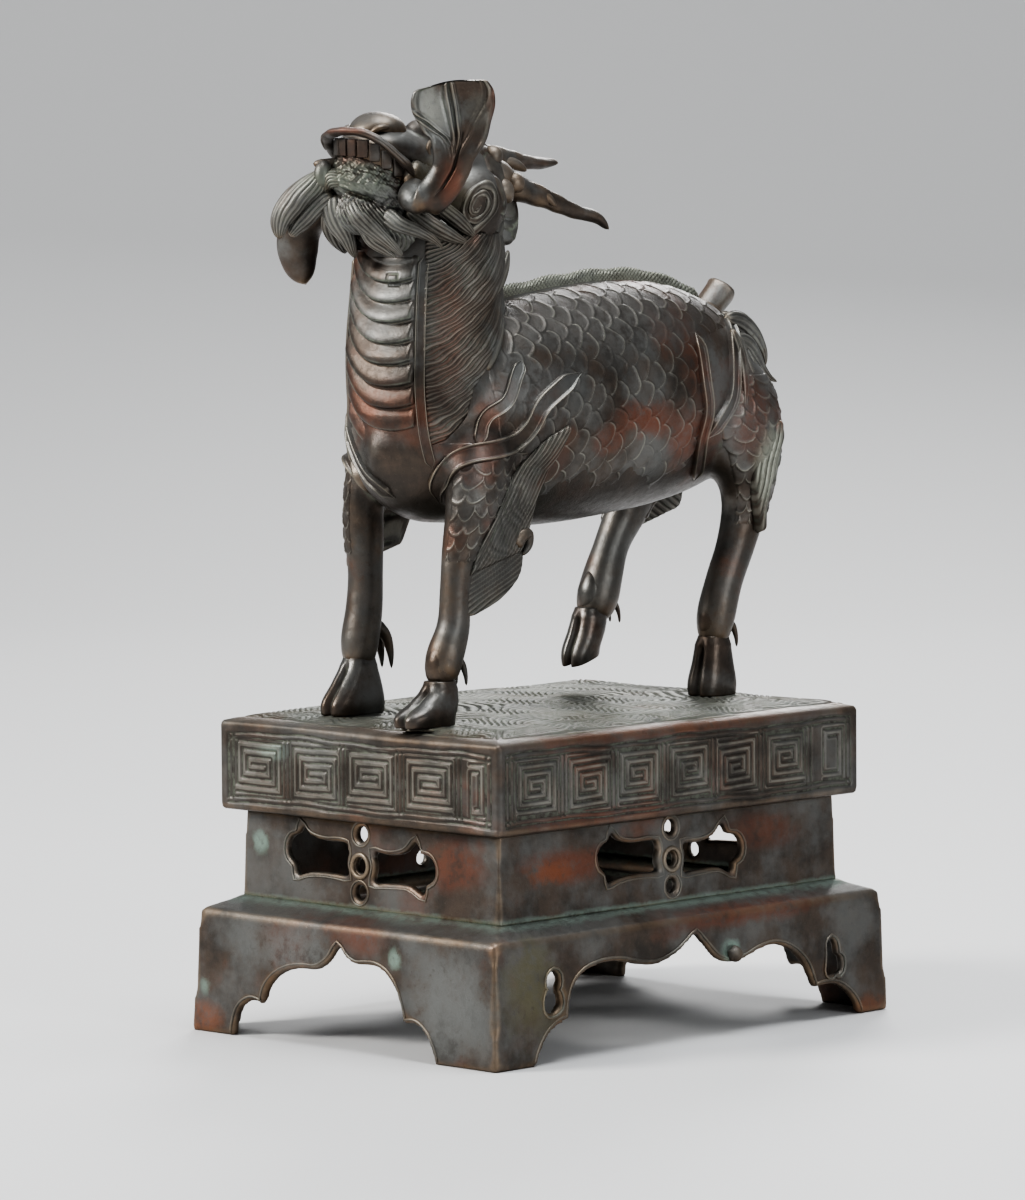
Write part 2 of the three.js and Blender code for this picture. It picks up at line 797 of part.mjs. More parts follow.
// Upper teeth hang in a row round the arch of the lip, lower towards the corners of the mouth.
function teeth() {
  const [count, spread, radius, front, sag] = [6, 60, 10.6, 243.6, 9];
  return Array.from({ length: count }, (_, i) => {
    const turn = THREE.MathUtils.degToRad(THREE.MathUtils.lerp(-spread, spread, i / (count - 1)));
    const geometry = new THREE.BoxGeometry(3.2, 2.4, 5.6);
    geometry.rotateZ(turn);
    const drop = sag * (1 - Math.cos(turn));
    geometry.translate(1 + radius * Math.sin(turn), -58.6 - radius * Math.cos(turn), front - drop);
    return solid(geometry);
  });
}

// The left ear rises from the corner of the mouth like a spoon, its hollow forwards.
// The right one is bent down.
function ears() {
  const facing = new THREE.Vector3(0.71, 0.7, 0);
  const left = form(
    [
      [12.5, -57, 232, 3.6, 3.8],
      [17, -61.6, 229, 5, 4.2],
      [21.5, -61, 228, 5.6, 4],
      [24.5, -58.6, 232.4, 5.6, 3.4],
      [26.5, -57, 238.6, 5.6, 2.6],
      [27.5, -57.2, 242.8, 6.3, 2.3],
      [28.2, -57.4, 247.8, 8.5, 2],
      [28.6, -58.2, 251.6, 9.8, 1.9],
      [28.8, -59, 255.5, 11.4, 1.8],
      [28.8, -59.8, 259, 11.3, 1.6],
      [28.8, -60.4, 261.8, 9.6, 1.1],
    ],
    { sides: 8, steps: 9, across: facing, hollow: 0.28 },
  );
  const right = form(
    [
      [-13, -58.6, 232, 3.4, 3.4],
      [-20, -63.4, 227.4, 5, 3.2],
      [-26.5, -64, 220, 5.5, 2.2],
      [-28.4, -62.4, 213.4, 4.8, 1.8],
      [-28, -60.8, 207.6, 1.6, 1],
    ],
    { sides: 6, steps: 5, across: facing, hollow: 0.2 },
  );
  return [left, right];
}

function horns() {
  const left = [
    [7, -32, 239.5, 5, 5],
    [10, -24.6, 236.4, 4.4, 4.6],
    [11, -17.6, 232.8, 3.6, 3.8],
    [12, -8, 229.8, 2.8, 2.8],
    [12, 4.7, 226, 2, 2],
    [12, 14.6, 223.4, 1.5, 1.5],
    [12, 18.2, 220.6, 0.7, 0.7],
  ];
  const right = [
    [-5, -30, 241, 4.6, 4.6],
    [-5, -15.5, 241.4, 3.4, 3.4],
    [-5, -7.5, 240.8, 3, 2.8],
    [-6, 3.4, 239.6, 2.3, 2],
    [-7, 12.4, 239, 1.6, 1.5],
    [-7, 17.6, 239.2, 0.8, 0.8],
  ];
  return [left, right].map((line) => form(line, { sides: 6, steps: 6 }));
}

// Beard locks hang under the jaw, and a long one sweeps out to the beast's right and hooks down.
function beard() {
  const mass = ball([1, -61, 229.6], [14, 11.6, 8.8], [0.4, 0, 0], 7);
  const sweep = form(
    [
      [-4, -68.2, 235, 3, 3.6],
      [-10, -71.8, 233.6, 3.8, 3.6],
      [-15, -74.8, 229, 4.2, 3],
      [-17.6, -76.8, 224.6, 2.8, 2.2],
      [-18.2, -78.2, 220.6, 0.8, 0.8],
    ],
    { sides: 6, steps: 6 },
  );
  const locks = [
    [[-5.6, -68.8, 228.6], [-5.6, -68.8, 221.6], [-3.6, -65.4, 214.8]],
    [[3.6, -69, 228], [7.6, -67.6, 221], [12, -62.8, 215]],
    [[13, -64.4, 226], [17, -61.4, 221.4], [20, -56, 217.4]],
    [[-13.6, -63, 226], [-16.6, -58.6, 221], [-18.4, -52.6, 217.4]],
  ].map(([root, middle, tip]) =>
    form([[...root, 4.2, 3], [...middle, 3.6, 2.4], [...tip, 0.7, 0.7]], { sides: 5, steps: 3 }),
  );
  return [mass, sweep, ...locks];
}

function beast() {
  const parts = [
    trunk(),
    neck(),
    bellyPlates(),
    ...mane(),
    ...ribbons(),
    crest(),
    ...tailAndTufts(),
    ...fins(),
    ...legs(),
    ...spurs(),
    ...hooves(),
    ...head(),
    ...ears(),
    ...horns(),
    ...beard(),
  ];
  return joined(parts).translate([MIDLINE, 0, 0]);
}

// The whole, moved so that the origin lies under the middle of its box.
const whole = new THREE.Group();
whole.add(node("qilin", beast(), 0x35302b, 0.42));
whole.add(node("slab", slab(), 0x3b332c, 0.5));
whole.add(node("waist", waist(), 0x43332b, 0.48));
whole.add(node("foot", foot(), 0x4a463f, 0.45));
const reach = new THREE.Box3().setFromObject(whole, true);
whole.position.set(-(reach.min.x + reach.max.x) / 2, -(reach.min.y + reach.max.y) / 2, 0);

export default whole;
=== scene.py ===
"""The looks of a cast bronze qilin on its three-tier stand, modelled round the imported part."""

import json
import math

import bpy
import numpy as np
from mathutils import Matrix, Vector
from mathutils.bvhtree import BVHTree

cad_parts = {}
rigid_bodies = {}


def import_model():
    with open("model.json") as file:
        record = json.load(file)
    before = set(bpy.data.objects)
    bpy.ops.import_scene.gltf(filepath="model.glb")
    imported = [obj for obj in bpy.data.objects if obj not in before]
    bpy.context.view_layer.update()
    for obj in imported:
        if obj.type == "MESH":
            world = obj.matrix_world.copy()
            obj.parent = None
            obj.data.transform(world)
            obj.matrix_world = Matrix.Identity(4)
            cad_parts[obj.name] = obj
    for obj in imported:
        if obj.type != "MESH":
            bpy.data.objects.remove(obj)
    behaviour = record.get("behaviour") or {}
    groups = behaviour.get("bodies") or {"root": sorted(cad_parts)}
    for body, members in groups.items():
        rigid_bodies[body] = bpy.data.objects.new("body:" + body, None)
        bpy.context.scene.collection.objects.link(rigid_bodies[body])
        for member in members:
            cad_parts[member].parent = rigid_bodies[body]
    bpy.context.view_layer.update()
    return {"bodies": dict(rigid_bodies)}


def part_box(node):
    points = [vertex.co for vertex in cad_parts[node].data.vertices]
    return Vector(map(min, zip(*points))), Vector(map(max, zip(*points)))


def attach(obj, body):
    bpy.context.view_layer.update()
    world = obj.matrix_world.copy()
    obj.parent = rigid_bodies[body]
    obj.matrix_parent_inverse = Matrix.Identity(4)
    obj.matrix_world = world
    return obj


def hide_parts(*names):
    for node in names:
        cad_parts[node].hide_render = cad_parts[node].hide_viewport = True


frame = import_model()

# Everything is laid out in millimetres from the middle of the stand, and settled into the frame at the end.
MM = 0.001
foot_low, foot_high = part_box("foot")
MIDDLE = np.array([(foot_low.x + foot_high.x) / 2, (foot_low.y + foot_high.y) / 2, 0.0])
# The beast's own midline stands a little to the right of the stand's.
MIDLINE = -2.0
# The waist's and then the foot's unevenness is drawn from this.
RNG = np.random.default_rng(7)


# Mesh helpers


def deselect():
    if bpy.context.object and bpy.context.object.mode != "OBJECT":
        bpy.ops.object.mode_set(mode="OBJECT")
    bpy.ops.object.select_all(action="DESELECT")


def pick(*pieces):
    deselect()
    for piece in pieces:
        piece.select_set(True)
    bpy.context.view_layer.objects.active = pieces[0]


def points_of(piece):
    co = np.zeros(len(piece.data.vertices) * 3, np.float32)
    piece.data.vertices.foreach_get("co", co)
    return co.reshape(-1, 3).astype(float)


def move_points(piece, co):
    piece.data.vertices.foreach_set("co", co.astype(np.float32).ravel())
    piece.data.update()


def edit(piece, *steps):
    """Edit-mode operators on everything in a piece."""
    pick(piece)
    bpy.ops.object.mode_set(mode="EDIT")
    bpy.ops.mesh.select_all(action="SELECT")
    for step, settings in steps:
        step(**settings)
    bpy.ops.object.mode_set(mode="OBJECT")


def modify(piece, kind, **settings):
    """A modifier that is applied at once."""
    pick(piece)
    made = piece.modifiers.new(kind.title(), kind)
    for name, value in settings.items():
        setattr(made, name, value)
    bpy.ops.object.modifier_apply(modifier=made.name)


SEAM_GAP = 0.02


def merged(piece, gap=SEAM_GAP):
    edit(
        piece, (bpy.ops.mesh.remove_doubles, {"threshold": gap}),
        (bpy.ops.mesh.normals_make_consistent, {"inside": False}),
    )


def joined(name, pieces):
    pick(*pieces)
    if len(pieces) > 1:
        bpy.ops.object.join()
    whole = bpy.context.object
    whole.name = whole.data.name = name
    return whole


def lattice(name, across, along, place, closed=True):
    """A flat grid of faces whose points go where place(u, v) says, with u and v from 0 to 1."""
    deselect()
    bpy.ops.mesh.primitive_grid_add(x_subdivisions=across, y_subdivisions=along, size=1)
    piece = bpy.context.object
    piece.name = piece.data.name = name
    co = points_of(piece)
    u = np.clip(co[:, 0] + 0.5, 0, 1)
    v = np.clip(co[:, 1] + 0.5, 0, 1)
    move_points(piece, place(u, v))
    if closed:
        merged(piece)
    return piece


def put(piece, name, values):
    """Writes an attribute of a piece's points."""
    made = piece.data.attributes.get(name) or piece.data.attributes.new(name, "FLOAT", "POINT")
    made.data.foreach_set("value", np.asarray(values, np.float32))


def marked(name, across, along, place, gap=0):
    """A grid whose place(u, v) also says how light or dark each point is, and whose seams are closed when a
    gap is given.
    """
    marks = []

    def spots(u, v):
        co, line = place(u, v)
        marks.append(line)
        return co

    piece = lattice(name, across, along, spots, closed=False)
    put(piece, "line", marks[0])
    if gap:
        merged(piece, gap)
    return piece


def unit(vectors):
    return vectors / np.maximum(np.linalg.norm(vectors, axis=-1, keepdims=True), 1e-9)


def smooth(x, low, high):
    t = np.clip((x - low) / (high - low), 0, 1)
    return t * t * (3 - 2 * t)


def bump(x, wide):
    """A soft bump, 1 high where x is 0."""
    return np.exp(-((x / wide) ** 2))


def rounded(share):
    """A rise from 0 to 1 that follows a quarter of a circle."""
    return np.sqrt(np.clip(1 - (1 - np.minimum(share, 1)) ** 2, 0, 1))


def through(stations, t):
    """Smooth values through the stations, at shares t of their length."""
    s = np.asarray(stations, float)
    step = np.linalg.norm(np.diff(s[:, :3], axis=0), axis=1)
    knots = np.concatenate([[0], np.cumsum(step)])
    knots /= knots[-1]
    slope = np.gradient(s, knots, axis=0)
    i = np.clip(np.searchsorted(knots, t, side="right") - 1, 0, len(s) - 2)
    h = (knots[i + 1] - knots[i])[:, None]
    x = (t - knots[i])[:, None] / h
    low, high = s[i], s[i + 1]
    return (
        (2 * x**3 - 3 * x**2 + 1) * low + (x**3 - 2 * x**2 + x) * h * slope[i]
        + (3 * x**2 - 2 * x**3) * high + (x**3 - x**2) * h * slope[i + 1]
    )


def heading(stations, t):
    """The direction along the stations, at shares t of their length."""
    ahead = through(stations, np.minimum(t + 0.01, 1)) - through(stations, np.maximum(t - 0.01, 0))
    return unit(ahead[:, :3])


def read_off(stations, at, key, value):
    """One column of the stations, read where another column has the given values."""
    return np.interp(at, [s[key] for s in stations], [s[value] for s in stations])


def length_of(stations):
    s = np.asarray(stations, float)
    return np.linalg.norm(np.diff(s[:, :3], axis=0), axis=1).sum()


def limb(
    name, stations, sides=24, steps=24, across=(1, 0, 0), hollow=0.0, ends=(0.1, 0.1), relief=None,
    level=False, closed=True,
):
    """A rounded form along a line of stations [x, y, z, half width, half depth]."""
    stations = [tuple(s) if len(s) == 5 else (*s, s[3]) for s in stations]
    across = np.asarray(across, float)

    def place(u, v):
        spot = through(stations, v)
        forward = heading(stations, v)
        if level:
            forward = np.tile([0.0, 0.0, 1.0], (len(v), 1))
        wide = unit(across - (forward @ across)[:, None] * forward)
        deep = np.cross(wide, forward)
        cap = np.ones_like(v)
        for share, gone in ((ends[0], v), (ends[1], 1 - v)):
            if share > 0:
                cap = np.minimum(cap, rounded(gone / share))
            else:
                cap = np.where(gone <= 0, 0, cap)
        turn = 2 * np.pi * u
        c, s = np.cos(turn), np.sin(turn)
        out = np.zeros_like(v) if relief is None else relief(turn, v)
        wide_by = (spot[:, 3] + out) * cap * c
        deep_by = (spot[:, 4] + out) * cap * s + hollow * spot[:, 3] * cap * (c * c - 0.5)
        return spot[:, :3] + wide * wide_by[:, None] + deep * deep_by[:, None]

    return lattice(name, sides, steps, place, closed=closed)


def shifted(stations, side=1):
    """Stations given from the beast's own midline, on its left, or mirrored for its right."""
    return [(MIDLINE + side * s[0], *s[1:]) for s in stations]


def form(name, stations, side=1, **settings):
    """A rounded form whose stations are given from the beast's own midline."""
    return limb(name, shifted(stations, side), **settings)


def tree_of(piece):
    return BVHTree.FromPolygons(
        [v.co.copy() for v in piece.data.vertices], [tuple(p.vertices) for p in piece.data.polygons],
    )


# The beast's smooth skin

TRUNK = [
    (0, -63.4, 162.5, 3, 5.5), (0, -60, 162.5, 11, 13.5), (0, -52, 163.7, 18.5, 20.3),
    (0, -40, 165.4, 23.4, 24.6), (0, -25, 169.2, 26, 29.9), (0, -10, 170.6, 27, 31.9),
    (0, 8, 172, 27.5, 32.8), (0, 25, 173.3, 28, 32.7), (0, 41, 173.9, 27.6, 31.7), (0, 56, 173.8, 26, 28.6),
    (0, 68, 174, 22.5, 23.6), (0, 77, 174.5, 16.5, 16.5), (0, 83, 175.5, 8, 7.5),
]
NECK = [
    (0, -36, 146, 17.4, 14.5), (0, -39.5, 158, 20.1, 18.6), (0, -41.5, 172, 20.9, 20),
    (0, -42.5, 188, 20.9, 20), (0, -41.9, 204, 20, 19.1), (0, -40.9, 218, 19.1, 18.4),
    (0, -39.9, 230, 15.9, 16),
]
FORE_LEFT = [
    (13, -36, 172, 8, 11), (19.4, -41, 159, 7.6, 10.8), (20.4, -45.4, 146, 6.6, 7.8),
    (20, -49.4, 134.4, 4.9, 5.4), (20, -51.4, 124.5, 4.2, 4.4), (20, -52.2, 114.4, 4.6, 4.8),
    (20, -55.6, 106.6, 5.2, 5.4), (20, -57.4, 99.6, 4.4, 4.8),
]
FORE_RIGHT = [
    (-13, -36, 170, 8, 11), (-19.4, -42.6, 156, 6.8, 9.4), (-20, -46.4, 147, 5.4, 6.2),
    (-20, -46.7, 137.5, 5.4, 5.7), (-20, -46.3, 127.2, 4.9, 5.1), (-20, -47, 117, 5.2, 5.3),
    (-20, -48.8, 108, 5.4, 5.4), (-20, -49.4, 101, 4.2, 4.4),
]
HIND_LEFT = [
    (13, 54, 182, 8, 10), (18.4, 60.6, 171, 9.6, 15), (19.4, 65, 157, 8.8, 13.4), (19, 66.2, 144, 6.6, 7.8),
    (19, 62, 130.6, 5.4, 5.9), (19, 57, 120.4, 5.3, 5.6), (19, 53.2, 109, 5.4, 5.5),
    (19, 52.3, 102, 3.8, 4),
]
HIND_RIGHT = [
    (-13, 54, 180, 8, 10), (-17.6, 60, 167, 9.2, 14.4), (-18, 61, 153, 8.2, 11.4),
    (-18, 56.6, 140.5, 6, 7.2), (-18, 49.6, 129, 5, 5.4), (-18, 46, 120.6, 5.8, 6),
    (-18, 43.6, 114, 6, 6.2), (-18, 41, 108, 4.2, 4.4),
]
GROUND = 88.3


def skin():
    """Trunk, neck and legs as one smooth casting."""
    forms = [
        form("trunk", TRUNK, sides=72, steps=72, ends=(0.06, 0.06)),
        form("neck", NECK, sides=64, steps=40, ends=(0.1, 0.1)),
    ]
    for line in (FORE_LEFT, FORE_RIGHT, HIND_LEFT, HIND_RIGHT):
        forms.append(form("leg", line, sides=28, steps=48, ends=(0.1, 0.03)))
    whole = joined("hide", forms)
    modify(whole, "REMESH", mode="VOXEL", voxel_size=1.1)
    modify(whole, "SMOOTH", factor=0.6, iterations=10)
    return whole


PATCH_LIFT, PATCH_SINK = 0.12, 0.7


def patch(name, tree, across, along, ray, height, margin, reach=60.0):
    """A fine sheet cast on to the skin from inside, raised by its pattern, and sunk where it isn't wanted."""

    def place(u, v):
        origins, ways = ray(u, v)
        spots = np.empty((len(u), 3))
        found = np.ones(len(u))
        for n in range(len(u)):
            hit = tree.ray_cast(Vector(origins[n]), Vector(ways[n]), reach)[0]
            found[n] = hit is not None
            spots[n] = hit if hit is not None else origins[n] + ways[n] * reach * 0.7
        i = np.rint(u * across).astype(int)
        j = np.rint(v * along).astype(int)
        grid = np.empty((across + 1, along + 1, 3))
        grid[i, j] = spots
        for _ in range(6):
            inner = grid.copy()
            inner[1:-1] += (grid[2:] + grid[:-2] - 2 * grid[1:-1]) * 0.25
            inner[:, 1:-1] += (grid[:, 2:] + grid[:, :-2] - 2 * grid[:, 1:-1]) * 0.25
            grid = inner
        normal = unit(np.cross(np.gradient(grid, axis=0), np.gradient(grid, axis=1)))
        if np.mean(np.sum(normal[i, j] * ways, axis=1)) < 0:
            normal = -normal
        raised, line, keep = height(u, v, grid[i, j])
        edge = np.minimum(np.minimum(u, 1 - u) * across, np.minimum(v, 1 - v) * along)
        border = smooth(edge / (margin * min(across, along)), 0, 1) * keep * found
        out = border * (PATCH_LIFT + raised) - (1 - border) * PATCH_SINK
        return grid[i, j] + normal[i, j] * out[:, None], line * border

    return marked(name, across, along, place)


def within(y, z, corners, soft=1.4):
    """1 inside a flat outline and 0 outside it, with a soft edge."""
    spots = np.array(corners, float)
    near = np.full(len(y), 99.0)
    inside = np.zeros(len(y), bool)
    for (y0, z0), (y1, z1) in zip(spots, np.roll(spots, -1, axis=0)):
        share = np.clip(
            ((y - y0) * (y1 - y0) + (z - z0) * (z1 - z0)) / ((y1 - y0) ** 2 + (z1 - z0) ** 2), 0, 1,
        )
        near = np.minimum(near, np.hypot(y - y0 - share * (y1 - y0), z - z0 - share * (z1 - z0)))
        if z0 != z1:
            inside ^= ((z0 > z) != (z1 > z)) & (y < (y1 - y0) * (z - z0) / (z1 - z0) + y0)
    return smooth(np.where(inside, near, -near), -soft / 2, soft / 2)


def scales(s, t, wide=7.6, pitch=4.6, radius=4.4, rise=0.18, squash=0.86):
    """Overlapping fish scales with fine raised rims: s runs towards their free edges and t across them."""
    s = s + 0.6 * np.sin(t * 0.31 + s * 0.17) + 0.3 * np.sin(t * 0.83 + s * 0.11 + 1)
    t = t + 0.7 * np.sin(s * 0.23 + 1.3) + 0.3 * np.sin(s * 0.61 + t * 0.2)
    row = np.floor(s / pitch).astype(int)
    raised = np.zeros_like(s)
    line = np.zeros_like(s)
    open_yet = np.ones(len(s), bool)
    for k in (row - 1, row, row + 1):
        offset = np.where(k % 2 == 0, 0, wide / 2)
        cell = np.floor((t - offset + wide / 2) / wide)
        aside = (t - offset + wide / 2) % wide - wide / 2
        jitter = np.sin(k * 12.9 + cell * 78.2) * 0.3
        inside = radius + jitter - np.hypot((s - k * pitch) * squash, aside)
        here = open_yet & (inside > 0)
        rim = bump(inside - 0.3, 0.22)
        raised[here] = (0.05 + rise * rim + 0.12 * np.exp(-inside / 1.3))[here]
        # A painted highlight along each rim and painted shade just inside it.
        line[here] = (rim * (0.75 + jitter) - 0.4 * bump(inside - 0.9, 0.25))[here]
        open_yet &= ~here
    return raised, line


# Outlines seen from the side, each point (y, z): bare of scales on the shoulder, on the haunch and
# where the mane covers the nape.
BARE_SHOULDER = [
    (-60, 190), (-38, 192), (-30.5, 186.5), (-25, 183), (-9, 183.6), (-17, 178.6), (-25, 174), (-28, 168),
    (-34, 165), (-60, 158),
]
BARE_HAUNCH = [
    (36, 140), (40.6, 161), (40.6, 170), (39, 179), (41, 187), (48, 190.5), (58, 192), (90, 192), (90, 140),
]
NAPE = [(-60, 176), (-46, 177), (-38.4, 186), (-33, 195), (-24, 197.6), (-21, 199), (-21, 240), (-60, 240)]


# The flank's sheet: where it starts along y and how long it is, and the turns from the spine in degrees.
FLANK_START, FLANK_LONG = -40, 112
FLANK_TURN, FLANK_SWEEP = 4, 146


def flank(tree, side):
    """The scaled flank from the mane to the haunch ribbon, spine to lower flank."""
    across, along = (290, 205) if side > 0 else (170, 120)

    def ray(u, v):
        y = FLANK_START + FLANK_LONG * u
        turn = np.radians(FLANK_TURN + FLANK_SWEEP * v)
        middle = read_off(TRUNK, y, 1, 2)
        origins = np.stack([np.full_like(y, MIDLINE), y, middle], 1)
        ways = np.stack([side * np.sin(turn), np.zeros_like(y), np.cos(turn)], 1)
        return origins, ways

    def height(u, v, spots):
        turn = np.radians(FLANK_TURN + FLANK_SWEEP * v)
        y, z = spots[:, 1], spots[:, 2]
        raised, line = scales(y - 0.12 * (z - 175), turn * 29)
        faint = 1 - 0.6 * within(y, z, BARE_SHOULDER, 4)
        low = smooth(z + 2.2 * np.sin(y * 0.29) + 1.2 * np.sin(y * 0.71 + 1), 145, 155)
        keep = low * (1 - within(y, z, BARE_HAUNCH, 2.4)) * (1 - within(y, z, NAPE))
        return raised * faint * low, line * faint * low, keep

    return patch(
        "scales_left" if side > 0 else "scales_right", tree, across, along, ray, height, margin=0.03,
    )


def around(stations, u, v, turn_from, turn_to):
    """Rays out of a limb: v runs along its stations, u round it. Turn 0 looks to +X and 90 to -Y."""
    spot = through(stations, v)[:, :3]
    turn = np.radians(turn_from + (turn_to - turn_from) * u)
    ways = np.stack([np.cos(turn), -np.sin(turn), np.zeros_like(turn)], 1)
    return spot, ways, turn


# The front edge of the thigh's scales, each point (z, y).
THIGH_FRONT = [
    (150, 43), (161.3, 43.6), (165.4, 47.3), (172.2, 53.1), (180.5, 55.3), (187.3, 58.4), (196, 63),
]


LEG_GRAIN = 0.38


def leg_scales(name, tree, line, share, turn_from, turn_to, radius, fade):
    """Scales on a share of a leg's line, from one turn round it to another, fading out below a height."""
    stations = shifted(line)
    long = length_of(stations)
    across = int(abs(turn_to - turn_from) / 180 * math.pi * radius / LEG_GRAIN)
    along = int(long * (share[1] - share[0]) / LEG_GRAIN)
    hind = line[0][1] > 0

    def ray(u, v):
        spot, ways, _ = around(stations, u, share[0] + (share[1] - share[0]) * v, turn_from, turn_to)
        return spot, ways

    def height(u, v, spots):
        _, _, turn = around(stations, u, v, turn_from, turn_to)
        y, z = spots[:, 1], spots[:, 2]
        raised, line_on = scales(-z, turn * radius, wide=5.6, pitch=4.0, radius=3.4, rise=0.26, squash=0.8)
        keep = smooth(z, fade, fade + 2.5)
        if hind:
            front = read_off(THIGH_FRONT, z, 0, 1)
            keep *= np.maximum(smooth(y - front, 0, 1.6), 1 - smooth(z, 150, 156))
        return raised, line_on, keep

    return patch(name, tree, across, along, ray, height, margin=0.05, reach=19.0)


def strands(q, pitch, rise=0.34):
    """Combed hair: narrow furrows between rounded strands."""
    t = (q / pitch) % 1
    furrow = bump(np.minimum(t, 1 - t), 0.2)
    return rise * (1 - furrow), furrow


# The combed mane's outline seen from the side, each point (y, z).
MANE_FIELD = [
    (-80, 160), (-57, 163.5), (-52.6, 165.4), (-46.6, 172), (-44.6, 179), (-39, 186), (-35, 192),
    (-31, 197.5), (-26, 200), (-20, 202), (-10, 210), (-10, 240), (-80, 240),
]


MANE_FOOT, MANE_HIGH = 160, 62
MANE_TIER, MANE_PITCH = 20.5, 1.26


def mane(tree, side):
    """Three tiers of combed hair swept up and back over the side of the neck."""
    across, along = (170, 236) if side > 0 else (96, 130)

    def ray(u, v):
        z = MANE_FOOT + MANE_HIGH * v
        turn = np.radians(41 + 121 * u)
        middle = read_off(NECK, z, 2, 1)
        origins = np.stack([np.full_like(z, MIDLINE), middle, z], 1)
        ways = np.stack([side * np.sin(turn), -np.cos(turn), np.zeros_like(z)], 1)
        return origins, ways

    def height(u, v, spots):
        z = MANE_FOOT + MANE_HIGH * v
        out = u * 44
        q = z - (0.24 * out + 0.0175 * out**2)
        tier = (q - 146) / MANE_TIER
        share = tier % 1
        sway = 0.35 * np.sin(out * 0.3) + 0.2 * np.sin(out * 0.9 + q) + 0.5 * np.sin(q * 0.35 + out * 0.12)
        raised, furrow = strands(q + sway, MANE_PITCH, rise=0.5)
        lip = 1.5 * smooth(u, 0.12, 0.7) * (1 - smooth(share, 0.0, 0.9)) * smooth(share, 0, 0.03)
        keep = within(spots[:, 1], spots[:, 2], MANE_FIELD)
        bold = 0.75 + 0.25 * np.sin(np.floor((q + sway) / MANE_PITCH) * 2.4)
        # Painted highlights on the strands and painted shade in the furrows.
        return raised * bold + lip + 0.4, 0.55 * (1 - furrow) * bold - furrow * 0.9, keep

    return patch("mane_left" if side > 0 else "mane_right", tree, across, along, ray, height, margin=0.04)


def mane_tips():
    """The free flame tips of the mane's tiers, standing off the back of the neck."""
    made = []
    for side in (1, -1):
        for line in (
            [
                (17.6, -36, 203, 2.4, 1.5), (16.6, -30, 208, 2.1, 1.4), (15.4, -26.4, 212.4, 1.5, 1.2),
                (14.6, -24.4, 216, 0.5, 0.5),
            ],
            [
                (19.6, -40, 184, 3, 1.7), (19.4, -35.4, 189.4, 2.5, 1.5), (18, -31.6, 194.4, 1.7, 1.3),
                (16.8, -29.4, 198.4, 0.5, 0.5),
            ],
            [(15.4, -33, 214, 2.2, 1.4), (14, -28, 220, 1.9, 1.2), (12.6, -24.6, 225, 0.6, 0.6)],
        ):
            stations = shifted(line, side)
            made.append(lock("mane_tip", stations, 30, 44, 6, across=(0, 0.7, -0.7), deep=0.22))
    return made


# Heights of the lower edges of the throat's plates, in the middle.
PLATE_EDGES = [212.8, 207.4, 202, 196.6, 190.9, 185.2, 179.2, 173.3, 167, 160.6]


THROAT_TOP, THROAT_LONG = 216, 58


def belly_plates():
    """Nine plates down the throat, each with a rounded lower edge over the next."""
    spread = math.radians(40)

    def place(u, v):
        turn = (u * 2 - 1) * spread
        z = THROAT_TOP - THROAT_LONG * v
        x = 21 * np.sin(turn)
        bend = 0.035 * (x - 5) ** 2 + 0.2 * np.sin(x * 0.35)
        level = z - bend
        edges = np.array(PLATE_EDGES[::-1])
        n = np.clip(np.searchsorted(edges, level, side="right"), 1, len(edges) - 1)
        share = np.clip((edges[n] - level) / (edges[n] - edges[n - 1]), 0, 1)
        full = 1.6 + 0.25 * np.sin(n * 2.1)
        body = 0.1 + full * np.sin(np.minimum(share, 0.8) / 0.8 * math.pi / 2) ** 1.2
        body *= 1 - smooth(share, 0.84, 1.0) * 0.95
        body = np.where((level > edges[-1]) | (level < edges[0]), 0.4, body)
        side = smooth(np.abs(u * 2 - 1), 0.78, 0.9)
        out = body * (1 - side) + (0.55 + 0.35 * body) * side * (1 - side) + 0.6 * side
        sunk = 1.8 * smooth(np.abs(u * 2 - 1), 0.93, 1.0) + 1.2 * smooth(v, 0.95, 1)
        out -= sunk + 0.6 * (1 - smooth(v, 0, 0.03))
        # A small squared mark is cut into the second plate, on the left.
        a, b = np.abs(x - 6.4), np.abs(z - 208.8)
        mark = groove(np.maximum(a - 1.5, b - 1.5), 0.3)
        out -= 0.3 * mark
        # Painted shade in the crevice under each plate's rounded edge and in the cut mark.
        line = -np.maximum(mark, smooth(share, 0.86, 0.97) * (1 - side))
        wide = read_off(NECK, z, 2, 3) + out
        deep = read_off(NECK, z, 2, 4) + out
        middle = read_off(NECK, z, 2, 1)
        return np.stack([MIDLINE + wide * np.sin(turn), middle - deep * np.cos(turn), z], 1), line

    return marked("belly_plates", 84, 190, place)


def on_skin(tree, stations, sink=0.0):
    """Points brought to the nearest place on the skin, with the skin's direction there."""
    spots, ways = [], []
    for s in stations:
        at, way, _, _ = tree.find_nearest(Vector(s[:3]))
        spots.append(np.array(at) - np.array(way) * sink)
        ways.append(np.array(way))
    return np.array(spots), np.array(ways)


